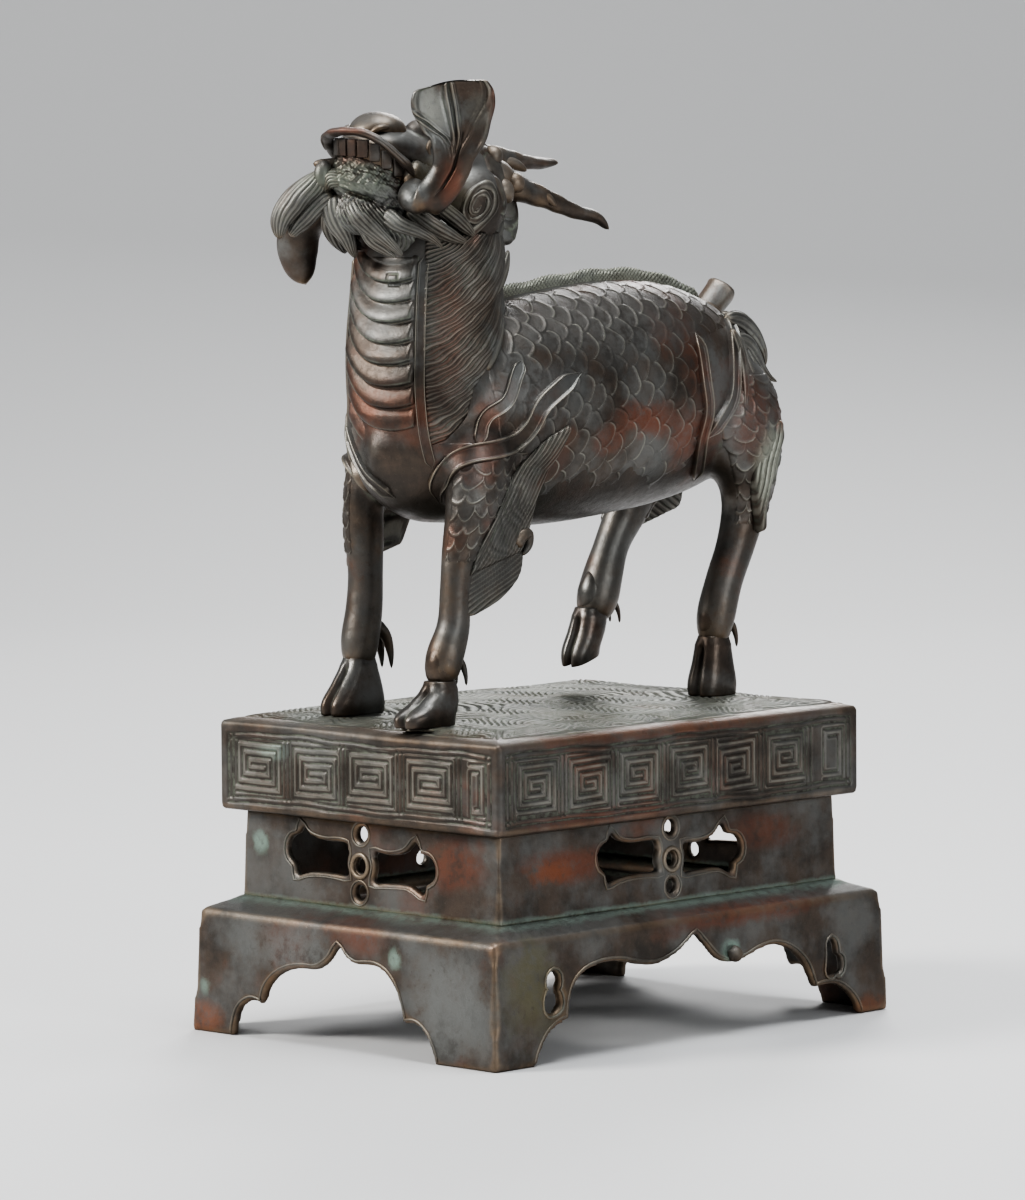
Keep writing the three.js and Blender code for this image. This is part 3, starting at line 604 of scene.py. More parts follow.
def ribbon(name, tree, stations, half, high, taper=(0.12, 0.12)):
    """A flame ribbon lying on the skin: a shallow channel between two fine raised rims."""
    across, steps = 24, 68
    t = np.linspace(0, 1, steps + 1)
    line = through(stations, t)
    spots, ways = on_skin(tree, line)
    for _ in range(4):
        ways[1:-1] = unit(ways[:-2] + 2 * ways[1:-1] + ways[2:])
        spots[1:-1] = (spots[:-2] + 2 * spots[1:-1] + spots[2:]) / 4
    ahead = unit(np.gradient(spots, axis=0))
    aside = unit(np.cross(ahead, ways))

    def place(u, v):
        j = np.rint(v * steps).astype(int)
        w = (u * 2 - 1) * 1.15
        root = smooth(v / taper[0], 0, 1) * 0.85 + 0.15
        size = np.minimum(root, smooth((1 - v) / taper[1], 0, 1) * 0.9 + 0.1)
        rims = bump(np.abs(w) - 0.84, 0.13)
        body = smooth(1.12 - np.abs(w), 0, 0.18)
        up = ((0.45 + 0.55 * rims) * high * size + 0.1) * body - 0.7 * (1 - body)
        # The rims carry a painted highlight.
        return spots[j] + aside[j] * (w * half * size)[:, None] + ways[j] * up[:, None], rims * 0.75 * body

    return marked(name, across, steps, place)


# Lines of the ribbons over the skin, from root to tip.
SHOULDER = [
    (12.7, -49.5, 147.5), (14.7, -53, 151.8), (16.5, -53.3, 154.6), (21.2, -52.1, 159.9),
    (25.4, -48.7, 162), (27.2, -43.6, 162.6), (25.6, -38, 163), (24.7, -32.6, 164.5), (25.5, -27.5, 168.6),
    (25.8, -25, 172.4), (25.6, -17.3, 177.5), (25.3, -11.6, 180.3), (25.2, -6.6, 182.3),
]
BRANCH = [
    (25.6, -47.4, 163.4), (25.2, -43.8, 171), (23.7, -34.9, 175.2), (22.4, -30, 182), (21.7, -26.2, 186.4),
]
CHEST = [
    (3.2, -57.9, 148.4), (1, -60.9, 150.4), (-4.6, -62.2, 154.4), (-10.1, -60.6, 160.8),
    (-14.6, -57.6, 167), (-17.4, -54, 174),
]
HAUNCH_FRONT = [
    (22.6, 41.4, 192), (27.3, 40.2, 178.3), (27.2, 41.5, 169.8), (25.3, 40.7, 161.4), (20, 44, 154),
    (15.7, 48, 149.4),
]
HAUNCH_BACK = [
    (14, 62, 196), (18.6, 60.4, 191), (22.2, 57.4, 187.3), (25.4, 54.3, 180.5), (26.2, 52.1, 172.2),
    (25.8, 46.3, 165.4), (25, 43, 161.3),
]
RIDGE = [
    (13.8, -56, 215), (14.2, -57.4, 205), (14, -57.9, 190), (13.9, -57.9, 176), (15, -57.4, 165.6),
    (16.4, -56, 157),
]


def ribbons(tree):
    """The flame ribbons of both sides, the one across the chest, and the ridges beside the throat."""
    made = []
    for side in (1, -1):
        for name, line, half, high in (
            ("shoulder", SHOULDER, 2.7, 1.8), ("branch", BRANCH, 2.0, 1.4),
            ("haunch_front", HAUNCH_FRONT, 1.9, 1.5), ("haunch_back", HAUNCH_BACK, 2.1, 1.6),
        ):
            made.append(ribbon(f"{name}_ribbon", tree, shifted(line, side), half, high))
    made.append(ribbon("chest_ribbon", tree, shifted(CHEST), 1.8, 1.3))
    for side in (1, -1):
        made.append(ribbon("throat_ridge", tree, shifted(RIDGE, side), 1.5, 1.1, taper=(0.03, 0.05)))
    return made


# Head


def head_skin():
    """Skull, open jaws, cheeks and the mass of the beard as one smooth casting."""
    forms = [
        form("skull", [
            (0, -17, 228, 7, 8), (0, -25, 231, 14, 13), (0, -37, 235, 16.5, 14.5),
            (0, -48, 239.4, 14.5, 11.2), (0, -56, 243, 12, 7.4), (0, -64, 245.2, 10.6, 4.4),
            (0, -69.6, 246, 8.4, 2.6),
        ], sides=40, steps=30),
        form("jaw", [
            (0, -38, 223, 14, 8), (0, -51, 226, 13.5, 7), (0, -60, 230, 11, 5), (0, -66, 234, 8, 3.2),
            (0, -69, 236, 4.5, 2),
        ], sides=36, steps=26),
        form("beard_mass", [
            (1, -50, 227, 11, 8), (1, -60, 229, 10.6, 7.6), (0.5, -66, 229.5, 7, 5.4), (0, -68, 230, 3, 3),
        ], sides=32, steps=20),
        form("nape", [(0, -22, 216, 12, 7), (0, -22, 226, 13, 9), (0, -24, 236, 9, 8)], sides=28, steps=16),
        form(
            "throat", [(0, -40, 214, 18.6, 18.4), (0, -41, 222, 17.6, 18), (0, -43, 230, 15, 15)], sides=40,
            steps=16, ends=(0.2, 0.3),
        ),
    ]
    for side in (1, -1):
        forms.append(form(
            "cheek", [(12, -50, 229, 5, 6), (14, -38, 228.6, 7.2, 10.8), (13, -26, 227, 5.4, 8)], side=side,
            sides=24, steps=16, ends=(0.4, 0.4),
        ))
        forms.append(form(
            "brow",
            [(3.4, -53.6, 247.6, 2.4, 2.2), (7, -50.6, 249, 3.4, 3.2), (10.4, -46, 246.6, 2.6, 2.6)],
            side=side, sides=16, steps=12, ends=(0.4, 0.4),
        ))
    whole = joined("head", forms)
    modify(whole, "REMESH", mode="VOXEL", voxel_size=0.6)
    modify(whole, "SMOOTH", factor=0.6, iterations=6)
    return whole


def crown(tree):
    """Combed hair over the top and the back of the skull."""

    def ray(u, v):
        turn = np.radians(-78 + 156 * u)
        rise = np.radians(-34 + 160 * v)
        origins = np.tile([MIDLINE, -38.0, 229.0], (len(u), 1))
        ways = np.stack([np.sin(turn), np.cos(turn) * np.cos(rise), np.cos(turn) * np.sin(rise)], 1)
        return origins, ways

    def height(u, v, spots):
        aside = spots[:, 0] - MIDLINE
        q = np.abs(aside) * (1 + 0.012 * (spots[:, 1] + 20)) + 0.3 * (spots[:, 2] - 230)
        raised, furrow = strands(q + 0.5 * np.sin(spots[:, 1] * 0.4), 1.5, rise=0.45)
        keep = smooth(np.hypot(np.abs(aside) - 17, spots[:, 1] + 43), 8, 11)
        # Painted highlights on the strands and painted shade in the furrows.
        return raised, 0.4 * (1 - furrow) - 0.8 * furrow, keep * (1 - smooth(-spots[:, 1], 52, 57))

    return patch("crown_hair", tree, 120, 100, ray, height, margin=0.05)


def nose():
    """The rounded muzzle end, with a nostril on each side of a parted tip."""
    dome = form("nose", [
        (-0.4, -52, 246.6, 7.4, 4.4), (-0.6, -58, 248.9, 8, 5), (-0.6, -63.4, 249.3, 7.4, 4.4),
        (-0.6, -67.4, 249, 5.4, 2.6),
    ], sides=32, steps=20, ends=(0.35, 0.5))
    wings = [
        form(
            "nostril", [(4.2, -67, 248.2, 0.8, 0.7), (6, -65, 249.6, 1.2, 1), (6.8, -61.4, 250, 0.7, 0.6)],
            side=side, sides=12, steps=10, ends=(0.4, 0.4),
        )
        for side in (1, -1)
    ]
    return [dome, *wings]


LIP = [
    (-14, -58, 238.6, 1.0, 1.7), (-11.8, -65.4, 243.8, 1.0, 1.9), (-8.6, -70.2, 247, 1.0, 2),
    (-3, -72.8, 248.6, 1.0, 2.1), (2.4, -72.8, 249, 1.0, 2.1), (6.6, -71, 248.4, 0.95, 2),
    (10, -68.2, 246.2, 0.95, 1.9), (12.3, -65, 242.8, 0.95, 1.8), (13.6, -62, 239.8, 0.95, 1.7),
    (14, -59.4, 236.4, 0.9, 1.3),
]
# The line where teeth and gums meet the lip: turns from the front towards the left, and heights.
BITE_TURNS = (-90, -40, 0, 16, 37, 66, 83, 100)
BITE_HEIGHTS = (236.6, 244.0, 244.6, 244.2, 243.4, 240.4, 238.0, 235.6)
BITE_Y = -60


def bite(turn, radius, drop=0.0):
    """A place on the arc of the jaws, from the beast's own midline."""
    high = np.interp(turn, BITE_TURNS, BITE_HEIGHTS)
    t = math.radians(turn)
    return radius * math.sin(t), BITE_Y - radius * math.cos(t), high - drop


def lips():
    """The thin flared upper lip with its bright edge, the wall behind the teeth, and the stub beside it."""

    def rolled(turn, v):
        wavy = 0.2 * np.cos(turn * 2 + 0.6) * smooth(v, 0, 0.1) * smooth(1 - v, 0, 0.1)
        return wavy + 0.12 * np.sin(v * 47) * np.sin(v * 19)

    upper = form("lip", LIP, sides=28, steps=110, across=(0, 0, 1), relief=rolled, ends=(0.08, 0.1))
    rim_line = [(x * 1.08, y - 1.3, z - 0.1, 0.4, 0.45) for x, y, z, *_ in LIP[1:-1]]
    rim = form("lip_rim", rim_line, sides=10, steps=80, across=(0, 0, 1), ends=(0.06, 0.06))
    wall = [(*bite(turn, 9.6, 0.4), 3.6, 1.4) for turn in range(-90, 101, 19)]
    behind = form("tooth_wall", wall, sides=16, steps=40, across=(0, 0, 1), ends=(0.05, 0.05))
    knob = form("knob", [
        (-8, -70.6, 240, 1.8, 1.8), (-7.4, -73, 238.4, 2.2, 2.4), (-7.2, -73.4, 235.6, 2.2, 2.2),
        (-7, -71.4, 233.4, 1.4, 1.4),
    ], sides=40, steps=30, ends=(0.3, 0.4))
    stub = form(
        "stub", [(-8, -66, 240, 1.9, 1.9), (-10.8, -70.4, 240, 1.6, 1.5), (-12.2, -72.2, 240.2, 1.3, 1.2)],
        sides=18, steps=16, ends=(0.1, 0.35),
    )
    return [upper, rim, behind, knob, stub]


def tooth(x, y, z, turn, wide, high):
    """One blunt tooth: a cube, narrowed towards its tip and rounded."""
    deselect()
    bpy.ops.mesh.primitive_cube_add(size=1, location=(0, 0, 0))
    piece = bpy.context.object
    co = points_of(piece)
    narrow = np.where(co[:, 2] < 0, 0.92, 1.0)
    co = co * np.array([wide, 2.8, high])
    co[:, :2] *= narrow[:, None]
    c, s = math.cos(turn), math.sin(turn)
    co = np.stack([co[:, 0] * c - co[:, 1] * s, co[:, 0] * s + co[:, 1] * c, co[:, 2]], 1)
    move_points(piece, co + np.array([x + MIDLINE, y, z]))
    modify(piece, "BEVEL", width=0.42, segments=3)
    modify(piece, "SUBSURF", levels=1, render_levels=1)
    return piece


def teeth():
    """An even row of blunt teeth that touch, following the lip."""
    made = []
    for i, turn in enumerate(range(-76, 95, 17)):
        size = 1 + 0.05 * math.sin(i * 2.3)
        spot = bite(turn, 10.3, 0.2 * math.sin(i * 1.7) - 0.3)
        made.append(tooth(*spot, math.radians(turn), 3.15 * size, 5.0))
    return made


# The front of the jaw and beard: height from the bite line at the front, and how far out it stands.
JAW_PROFILE = [
    (-1.2, 9.6), (-2.4, 11.0), (-5.4, 12.0), (-8.2, 13.1), (-10.4, 12.6), (-12.6, 11.2), (-14.2, 11.2),
    (-16.4, 12.2), (-18.6, 12.4), (-20.8, 11.6), (-22.6, 9.6), (-23.6, 8.0),
]


def lumpy(a, b):
    """An uneven, corroded relief over two lengths in millimetres, about 1 high."""
    rough = 1.2 * np.sin(a * 1.1 + 1.3 * np.sin(b * 0.7)) * np.sin(b * 1.3 + 1.1 * np.sin(a * 0.9 + 1))
    rough += 0.7 * np.sin(a * 2.3 + b * 1.2 + 0.8 * np.sin(b * 1.9)) * np.sin(b * 2.9 - a * 0.8)
    return rough + 0.4 * np.sin(a * 5.1 + b * 1.7) * np.sin(b * 4.3 + a * 2.1)


def jaw_front():
    """Gums, lower lip and chin as one rough casting that runs down into the combed beard."""
    drops = np.array([p[0] for p in JAW_PROFILE])
    outs = np.array([p[1] for p in JAW_PROFILE])

    def place(u, v):
        turn = -100 + 205 * u
        drop = drops[0] + (drops[-1] - drops[0]) * v
        out = np.interp(-drop, -drops, outs)
        arc = np.radians(turn) * 11.5
        beard_share = smooth(-drop, 12.4, 16)
        droop = np.interp(turn, BITE_TURNS, BITE_HEIGHTS) - BITE_HEIGHTS[2]
        z = BITE_HEIGHTS[2] + drop + droop * (1 - 0.45 * beard_share)
        lean = np.where(arc > -7, 0.55, -0.5) * smooth(np.abs(arc + 7), 0, 5)
        q = arc + lean * (z - 226) + 0.9 * np.sin((z - 214) * 0.36 + arc * 0.2)
        raised, furrow = strands(q, 1.3, rise=0.6)
        slit = bump(drop + 12.6 + 0.12 * (arc - 6), 0.7) * smooth(arc, -3, 1) * (1 - smooth(arc, 6, 10))
        bumps = lumpy(arc, z)
        out += (1 - beard_share) * 0.34 * bumps + beard_share * (raised - 0.3 + 0.12 * bumps) - 1.6 * slit
        out -= 2.5 * smooth(np.abs(u * 2 - 1), 0.9, 1)
        out += 1.2 * smooth(arc, 8, 16) * beard_share
        # Painted highlights on the beard's strands, painted shade in its furrows and in the slit.
        line = beard_share * (0.45 * (1 - furrow) - 0.9 * furrow) - slit
        t = np.radians(turn)
        return np.stack([MIDLINE + out * np.sin(t), BITE_Y - out * np.cos(t), z], 1), line

    return marked("jaw_front", 162, 104, place)


def mouth():
    """The tongue and the rough casting inside the mouth."""

    def rough(turn, v):
        return 0.5 * np.sin(turn * 5 + v * 21) * np.sin(v * 34 + turn * 2)

    tongue = form(
        "tongue",
        [(0, -48, 234, 9, 5), (0, -58, 236.8, 8.4, 4), (0, -65, 239, 6.8, 2.8), (0, -68.4, 240, 4, 1.6)],
        sides=36, steps=36, relief=rough,
    )
    corner = form(
        "mouth_corner", [(9, -50, 234, 4, 6), (11.6, -57, 235, 3.4, 5.6), (12.2, -61.6, 234.4, 2.6, 3.6)],
        sides=30, steps=26, relief=rough, ends=(0.2, 0.4),
    )
    return [tongue, corner]


def eyes():
    """A round eye with a lid rim on each side of the head, under the brow."""
    made = []
    for side in (1, -1):
        ball = form(
            "eye",
            [(9.6, -47.4, 243.6, 2.4, 2.4), (12.4, -49.2, 243.8, 2.6, 2.6), (14.2, -50.3, 243.9, 1.4, 1.4)],
            side=side, sides=20, steps=14, ends=(0.3, 0.6),
        )
        lid = []
        for k in range(13):
            turn = 2 * math.pi * k / 12
            c, s = math.cos(turn), math.sin(turn)
            lid.append((12.5 + 0.25 * c, -49.2 + 3.3 * c, 243.8 + 2.9 * s, 0.7, 0.7))
        made += [ball, form("eyelid", lid, side=side, sides=8, steps=48, ends=(0.02, 0.02))]
    return made


LEFT_EAR = [
    (12.5, -57.6, 233.4, 3.4, 3.6), (16.6, -62.2, 231.2, 4.4, 3.6), (20.7, -62.4, 230.2, 4.9, 3.3),
    (24.2, -59.8, 233.8, 5.0, 3.0), (26.2, -57.8, 238.8, 5.2, 2.5), (27.3, -57.6, 242.8, 5.9, 2.3),
    (28.2, -57.4, 247.8, 8.3, 2), (28.6, -58.2, 251.6, 9.8, 1.9), (28.8, -59, 255.5, 11.2, 1.8),
    (28.8, -59.8, 259, 11.1, 1.6), (28.8, -60.4, 261.9, 9.6, 1.1),
]


def left_ear():
    """The spoon-shaped left ear: a curled stem, a hollow blade with veins, and a rolled rim."""
    stations = shifted(LEFT_EAR)
    across = np.array([0.71, 0.7, 0.0])

    def place(u, v):
        spot = through(stations, v)
        forward = heading(stations, v)
        wide = unit(across - (forward @ across)[:, None] * forward)
        deep = np.cross(wide, forward)
        cap = rounded(v / 0.05)
        blade = smooth(v, 0.5, 0.72)
        top = 1 - (1 - rounded((1 - v) / 0.02)) * 0.45
        turn = np.pi * np.where(u < 0.7, u / 0.7, 1 + (u - 0.7) / 0.3)
        c, s = np.cos(turn), np.sin(turn)
        front = smooth(s, 0, 0.3)
        hollow = 0.26 * blade + 0.1
        w = spot[:, 3] * cap * c * top
        d = spot[:, 4] * cap * s + hollow * spot[:, 3] * cap * (c * c - 0.5)
        # The hollow side: pairs of ridges that part where blade and stem meet, and a rim along both edges.
        part = smooth(v, 0.48, 1.0)
        ridges = np.zeros_like(v)
        cuts = np.zeros_like(v)
        for start, slope, bold in ((0.0, -0.06, 1), (-0.04, -1.2, 0.7), (0.06, 0.8, 0.4)):
            aside = c - start - slope * part
            ridges += bold * bump(np.abs(aside) - 0.08, 0.042)
            cuts += bold * (bump(aside, 0.04) + 0.5 * bump(np.abs(aside) - 0.17, 0.04))
        rim = bump(np.abs(c) - 0.9, 0.08)
        fold = bump(c - 0.12 + 0.3 * (0.5 - v), 0.07) * (1 - blade) * smooth(v, 0.28, 0.42)
        swell = 0.4 * bump(c + 0.45, 0.4) * (1 - 0.5 * blade)
        carve = blade * (0.6 * ridges - 0.7 * cuts + 0.6 * rim) - 1.1 * fold + swell
        d += carve * front
        # Painted highlights on the ridges and rims, painted shade in the cuts and the fold.
        line = front * (blade * (0.7 * ridges - 0.6 * cuts + 0.5 * rim) - 0.8 * fold)
        return spot[:, :3] + wide * w[:, None] + deep * d[:, None], line

    return marked("left_ear", 114, 124, place, SEAM_GAP)


def right_ear():
    """The right ear is bent down and hangs beside the jaw, its hollow forwards."""
    stations = shifted([
        (-13, -58.6, 232, 3.4, 3.4), (-20, -63.4, 227.4, 5, 3.2), (-26, -64.4, 221, 5.8, 2.3),
        (-28.2, -62.8, 214, 5.2, 1.9), (-28, -61, 208.4, 2.6, 1.2), (-27.8, -60.4, 206.8, 0.8, 0.6),
    ])
    return limb(
        "right_ear", stations, sides=40, steps=50, across=(0.71, 0.7, 0), hollow=0.26, ends=(0.1, 0.05),
    )


def horns():
    """Two antler-like horns laid back over the neck, ringed and blunt, with lumps about their roots."""

    def knots(turn, v):
        return 0.22 * np.sin(v * 46) * (1 - v) + 0.28 * np.sin(turn * 3 + v * 9) * (1 - 0.6 * v)

    left = [
        (7, -32, 239.5, 5, 5), (10, -24.6, 236.4, 4.4, 4.6), (11, -17.6, 232.8, 3.6, 3.8),
        (12, -8, 229.8, 2.8, 2.8), (12, 4.7, 226, 2, 2), (12, 14.6, 223.4, 1.5, 1.5),
        (12, 18.2, 220.6, 0.7, 0.7),
    ]
    right = [
        (-5, -30, 241, 4.6, 4.6), (-5, -15.5, 241.4, 3.4, 3.4), (-5, -7.5, 240.8, 3, 2.8),
        (-6, 3.4, 239.6, 2.3, 2), (-7, 12.4, 239, 1.6, 1.5), (-7, 17.6, 239.2, 0.8, 0.8),
    ]
    tine_left = [(11.4, -12, 231, 2.2, 2.2), (13.6, -8, 229.8, 1.5, 1.5), (15.6, -6.4, 227.4, 0.5, 0.5)]
    tine_right = [(-4.4, -8, 240, 2.2, 2.2), (-2.6, -3, 238.6, 1.5, 1.5), (-2, 0, 237, 0.6, 0.6)]
    lumps = [
        [(10, -29, 241, 2.8, 2.8), (11.6, -26.6, 241.4, 3.2, 3.2), (12.6, -24.4, 240.6, 2, 2)],
        [(12, -22.6, 235.4, 2.8, 2.8), (13.6, -20.6, 234, 3, 3), (14, -18.4, 232, 1.8, 1.8)],
        [(13, -29, 234.6, 2.6, 2.6), (14.4, -26, 232, 3, 3.4), (14.6, -23, 229, 1.6, 1.6)],
        [(-9, -30, 240, 2.8, 2.8), (-10.6, -26, 240, 3.2, 3.2), (-11, -22.6, 238.4, 2, 2)],
    ]
    made = []
    for line in (left, right):
        made.append(form("horn", line, sides=26, steps=70, relief=knots, ends=(0.05, 0.05)))
    for line in (tine_left, tine_right):
        made.append(form("tine", line, sides=14, steps=16, ends=(0.1, 0.2)))
    made += [form("lump", line, sides=18, steps=14, ends=(0.4, 0.5)) for line in lumps]
    ring = []
    for k in range(13):
        turn = 2 * math.pi * k / 12
        c, s = math.cos(turn), math.sin(turn)
        ring.append((11.2 + 0.8 * s, -29 + 2.2 * c, 237.4 + 2.1 * s, 0.75, 0.75))
    made.append(form("eyelet", ring, sides=8, steps=40, ends=(0.02, 0.02)))
    return made


def lock(name, stations, sides, steps, grooves, across=(1, 0, 0), deep=0.32, ends=(0.12, 0.06)):
    """A lock of hair with combed grooves along it."""
    shape = {}

    def combed(turn, v):
        wander = 1.2 * v + 0.5 * np.sin(v * 7)
        cut = bump(np.sin(turn * grooves / 2 + wander), 0.34) * smooth(v, 0.0, 0.1)
        # Painted highlight on the hair between the grooves, painted shade in the grooves.
        shape["line"] = 0.55 - 1.45 * cut
        return -deep * cut

    piece = limb(
        name, stations, sides=sides, steps=steps, across=across, relief=combed, ends=ends, closed=False,
    )
    put(piece, "line", shape["line"])
    merged(piece)
    return piece


def beard():
    """Combed locks under the jaw, and a long one that sweeps out to the right and hooks down."""
    # How many grooves go round each lock, and its line from root to tip with half width and half depth.
    locks = [
        (16, [
            (-1, -69.6, 236, 2.4, 3), (-7, -71.8, 236, 3, 3.4), (-11.4, -74.4, 233.6, 3.8, 3.4),
            (-15.2, -77.4, 229.4, 4, 3.2), (-17.6, -79.4, 224.6, 3, 2.4), (-18, -79.6, 219.8, 1.1, 1),
        ]),
        (13, [
            (-7, -70, 232.6, 3, 3), (-11.4, -72.6, 228.4, 3.2, 2.8), (-14.6, -75, 224.2, 2.8, 2.4),
            (-16.4, -77, 220.6, 1.2, 1),
        ]),
        (14, [
            (-6.6, -69.6, 232, 3.4, 2.4), (-6, -70, 228, 4.2, 2.6), (-4.6, -69.8, 224, 3.7, 2.2),
            (-3.2, -68.4, 220.2, 2.5, 1.8), (-2.9, -66.8, 216.8, 1.4, 1.2), (-2.4, -66, 214.6, 0.5, 0.4),
        ]),
        (14, [
            (0, -69.4, 230, 3, 2.4), (3, -70, 226.6, 3.2, 2.4), (6.4, -69, 223.4, 2.8, 2.1),
            (9, -67.2, 220.6, 2.2, 1.7), (11, -65, 218, 1.4, 1.2), (12.6, -62.6, 215.4, 0.45, 0.4),
        ]),
        (9, [
            (3.4, -68.4, 223.6, 2, 1.8), (6, -68, 219.6, 1.8, 1.4), (8.6, -65.8, 217, 1.4, 1),
            (11, -63.6, 215, 0.4, 0.4),
        ]),
        (10, [
            (8.6, -66, 226.6, 2.8, 2), (13.4, -65, 224, 2.4, 1.8), (17.6, -62, 222, 1.8, 1.5),
            (20, -58.6, 219.8, 1.1, 1), (21, -56, 217.6, 0.4, 0.4),
        ]),
        (12, [
            (12.6, -61, 228, 2.4, 2), (16.4, -57, 224, 2.7, 2), (18.8, -51.4, 220.8, 2.3, 1.8),
            (20.2, -46, 218.8, 0.6, 0.6),
        ]),
        (12, [
            (14, -56, 231, 2.2, 1.8), (17.6, -52, 227.4, 2.6, 2), (19.6, -47, 223.4, 2.2, 1.8),
            (20.4, -43, 220.4, 0.6, 0.6),
        ]),
        (13, [
            (-11.6, -65.4, 228, 3, 2.4), (-14.6, -62.4, 223, 3.4, 2.2), (-17, -58.4, 219, 2.4, 1.8),
            (-18.6, -54, 215.4, 0.5, 0.5),
        ]),
        (13, [
            (-14.8, -58.6, 227, 2.8, 2.2), (-17.6, -54, 222, 3, 2), (-19.2, -49.4, 218.4, 2, 1.6),
            (-19.6, -45.6, 216, 0.5, 0.5),
        ]),
    ]
    made = []
    for grooves, stations in locks:
        made.append(lock("beard_lock", shifted(stations), grooves * 5, 46, grooves, (0.9, 0.3, 0.3), 0.46))
    return made


SWIRL_COUNT, SWIRL_LONG, SWIRL_WIDE = 62, 11.8, 7.4
SWIRL_Y, SWIRL_Z = -43, 228.5


def swirls(tree):
    """A combed ridge wound round each cheek, longer towards the jaw, its outer turn the broadest."""
    made = []
    for side in (1, -1):
        line = []
        for k in range(SWIRL_COUNT):
            turn = math.radians(15 * k - 40)
            share = 1 - k / 70
            down, back = SWIRL_LONG * share * math.cos(turn), SWIRL_WIDE * share * math.sin(turn)
            line.append((24, SWIRL_Y - 0.71 * (down - back), SWIRL_Z - 0.71 * (down + back)))
        spots, _ = on_skin(tree, shifted(line, side), sink=0.25)
        for _ in range(2):
            spots[1:-1] = (spots[:-2] + 2 * spots[1:-1] + spots[2:]) / 4
        stations = []
        for k, spot in enumerate(spots):
            size = (1.1 - 0.0085 * k) * (1 + 0.16 * math.sin(k * 1.3) + 0.1 * math.sin(k * 0.55))
            stations.append((*spot, 0.9 * size, 1.45 * size))
        made.append(lock("swirl", stations, 24, 3 * SWIRL_COUNT, 5, (side, 0, 0), 0.3, (0.05, 0.05)))
    return made


# Back, tail and legs


def back_at(y):
    return np.interp(y, [s[1] for s in TRUNK], [s[2] + s[4] for s in TRUNK])


CREST_START, CREST_LONG = -19, 88
CREST_PITCH, ROPE_PITCH = 1.4, 1.9


def crest():
    """The even fin along the back, with slanting striations and a notched edge."""

    def place(u, v):
        y = CREST_START + CREST_LONG * v
        base = back_at(y)
        end = smooth(v, 0, 0.04) * smooth(1 - v, 0, 0.06)
        turn = 2 * np.pi * u
        up = (1 - np.cos(turn)) / 2
        notch = ((y + 0.6 * up) / CREST_PITCH) % 1
        high = (3.7 + 0.3 * np.sin(y * 0.4)) * end - 0.5 * notch * smooth(up, 0.6, 1)
        lean = 1.4 * up
        comb = smooth(np.abs((((y - 1.5 * high * up) / CREST_PITCH) % 1) - 0.5) * 2, 0.25, 0.75)
        rope = np.abs((((y + 2 * up) / ROPE_PITCH) % 1) - 0.5) * 2
        low = bump(up - 0.16, 0.09)
        thick = 1.4 - 0.6 * up + (0.7 * comb - 0.35) * smooth(up, 0.2, 0.34) + 0.5 * low * rope
        flare = 1.8 * np.exp(-up / 0.1)
        x = np.sin(turn) * (thick * (0.55 + 0.45 * end) + flare)
        # Painted highlights and painted shade across the striations, and painted highlights on the rope at
        # the fin's root.
        line = (2.0 * comb - 1.1) * smooth(up, 0.2, 0.34) + low * (0.5 + 0.5 * rope)
        return np.stack([MIDLINE + x, y + lean * up, base - 1.6 + (high + 1.6) * up], 1), line

    return marked("crest", 28, 500, place, SEAM_GAP)


def tail():
    """The broken stub of the tail: a rod with four ridges and a ragged flat end."""

    def facets(turn, v):
        return -0.35 * np.abs(np.sin(turn * 2)) + 0.3 * np.sin(turn * 3 + 1) * smooth(v, 0.9, 1)

    rod = form(
        "tail", [(0, 64, 190.6, 5.4, 5.2), (0, 71, 196.6, 4.6, 4.6), (0, 77.6, 202.4, 4.8, 4.8)], sides=32,
        steps=26, relief=facets, ends=(0, 0.02),
    )
    root = form(
        "tail_root", [(0, 62, 189, 8, 6), (0, 69, 193.6, 6.4, 5.6), (0, 73, 197.4, 4.7, 4.7)], sides=28,
        steps=14, ends=(0.3, 0.2),
    )
    return [rod, root]


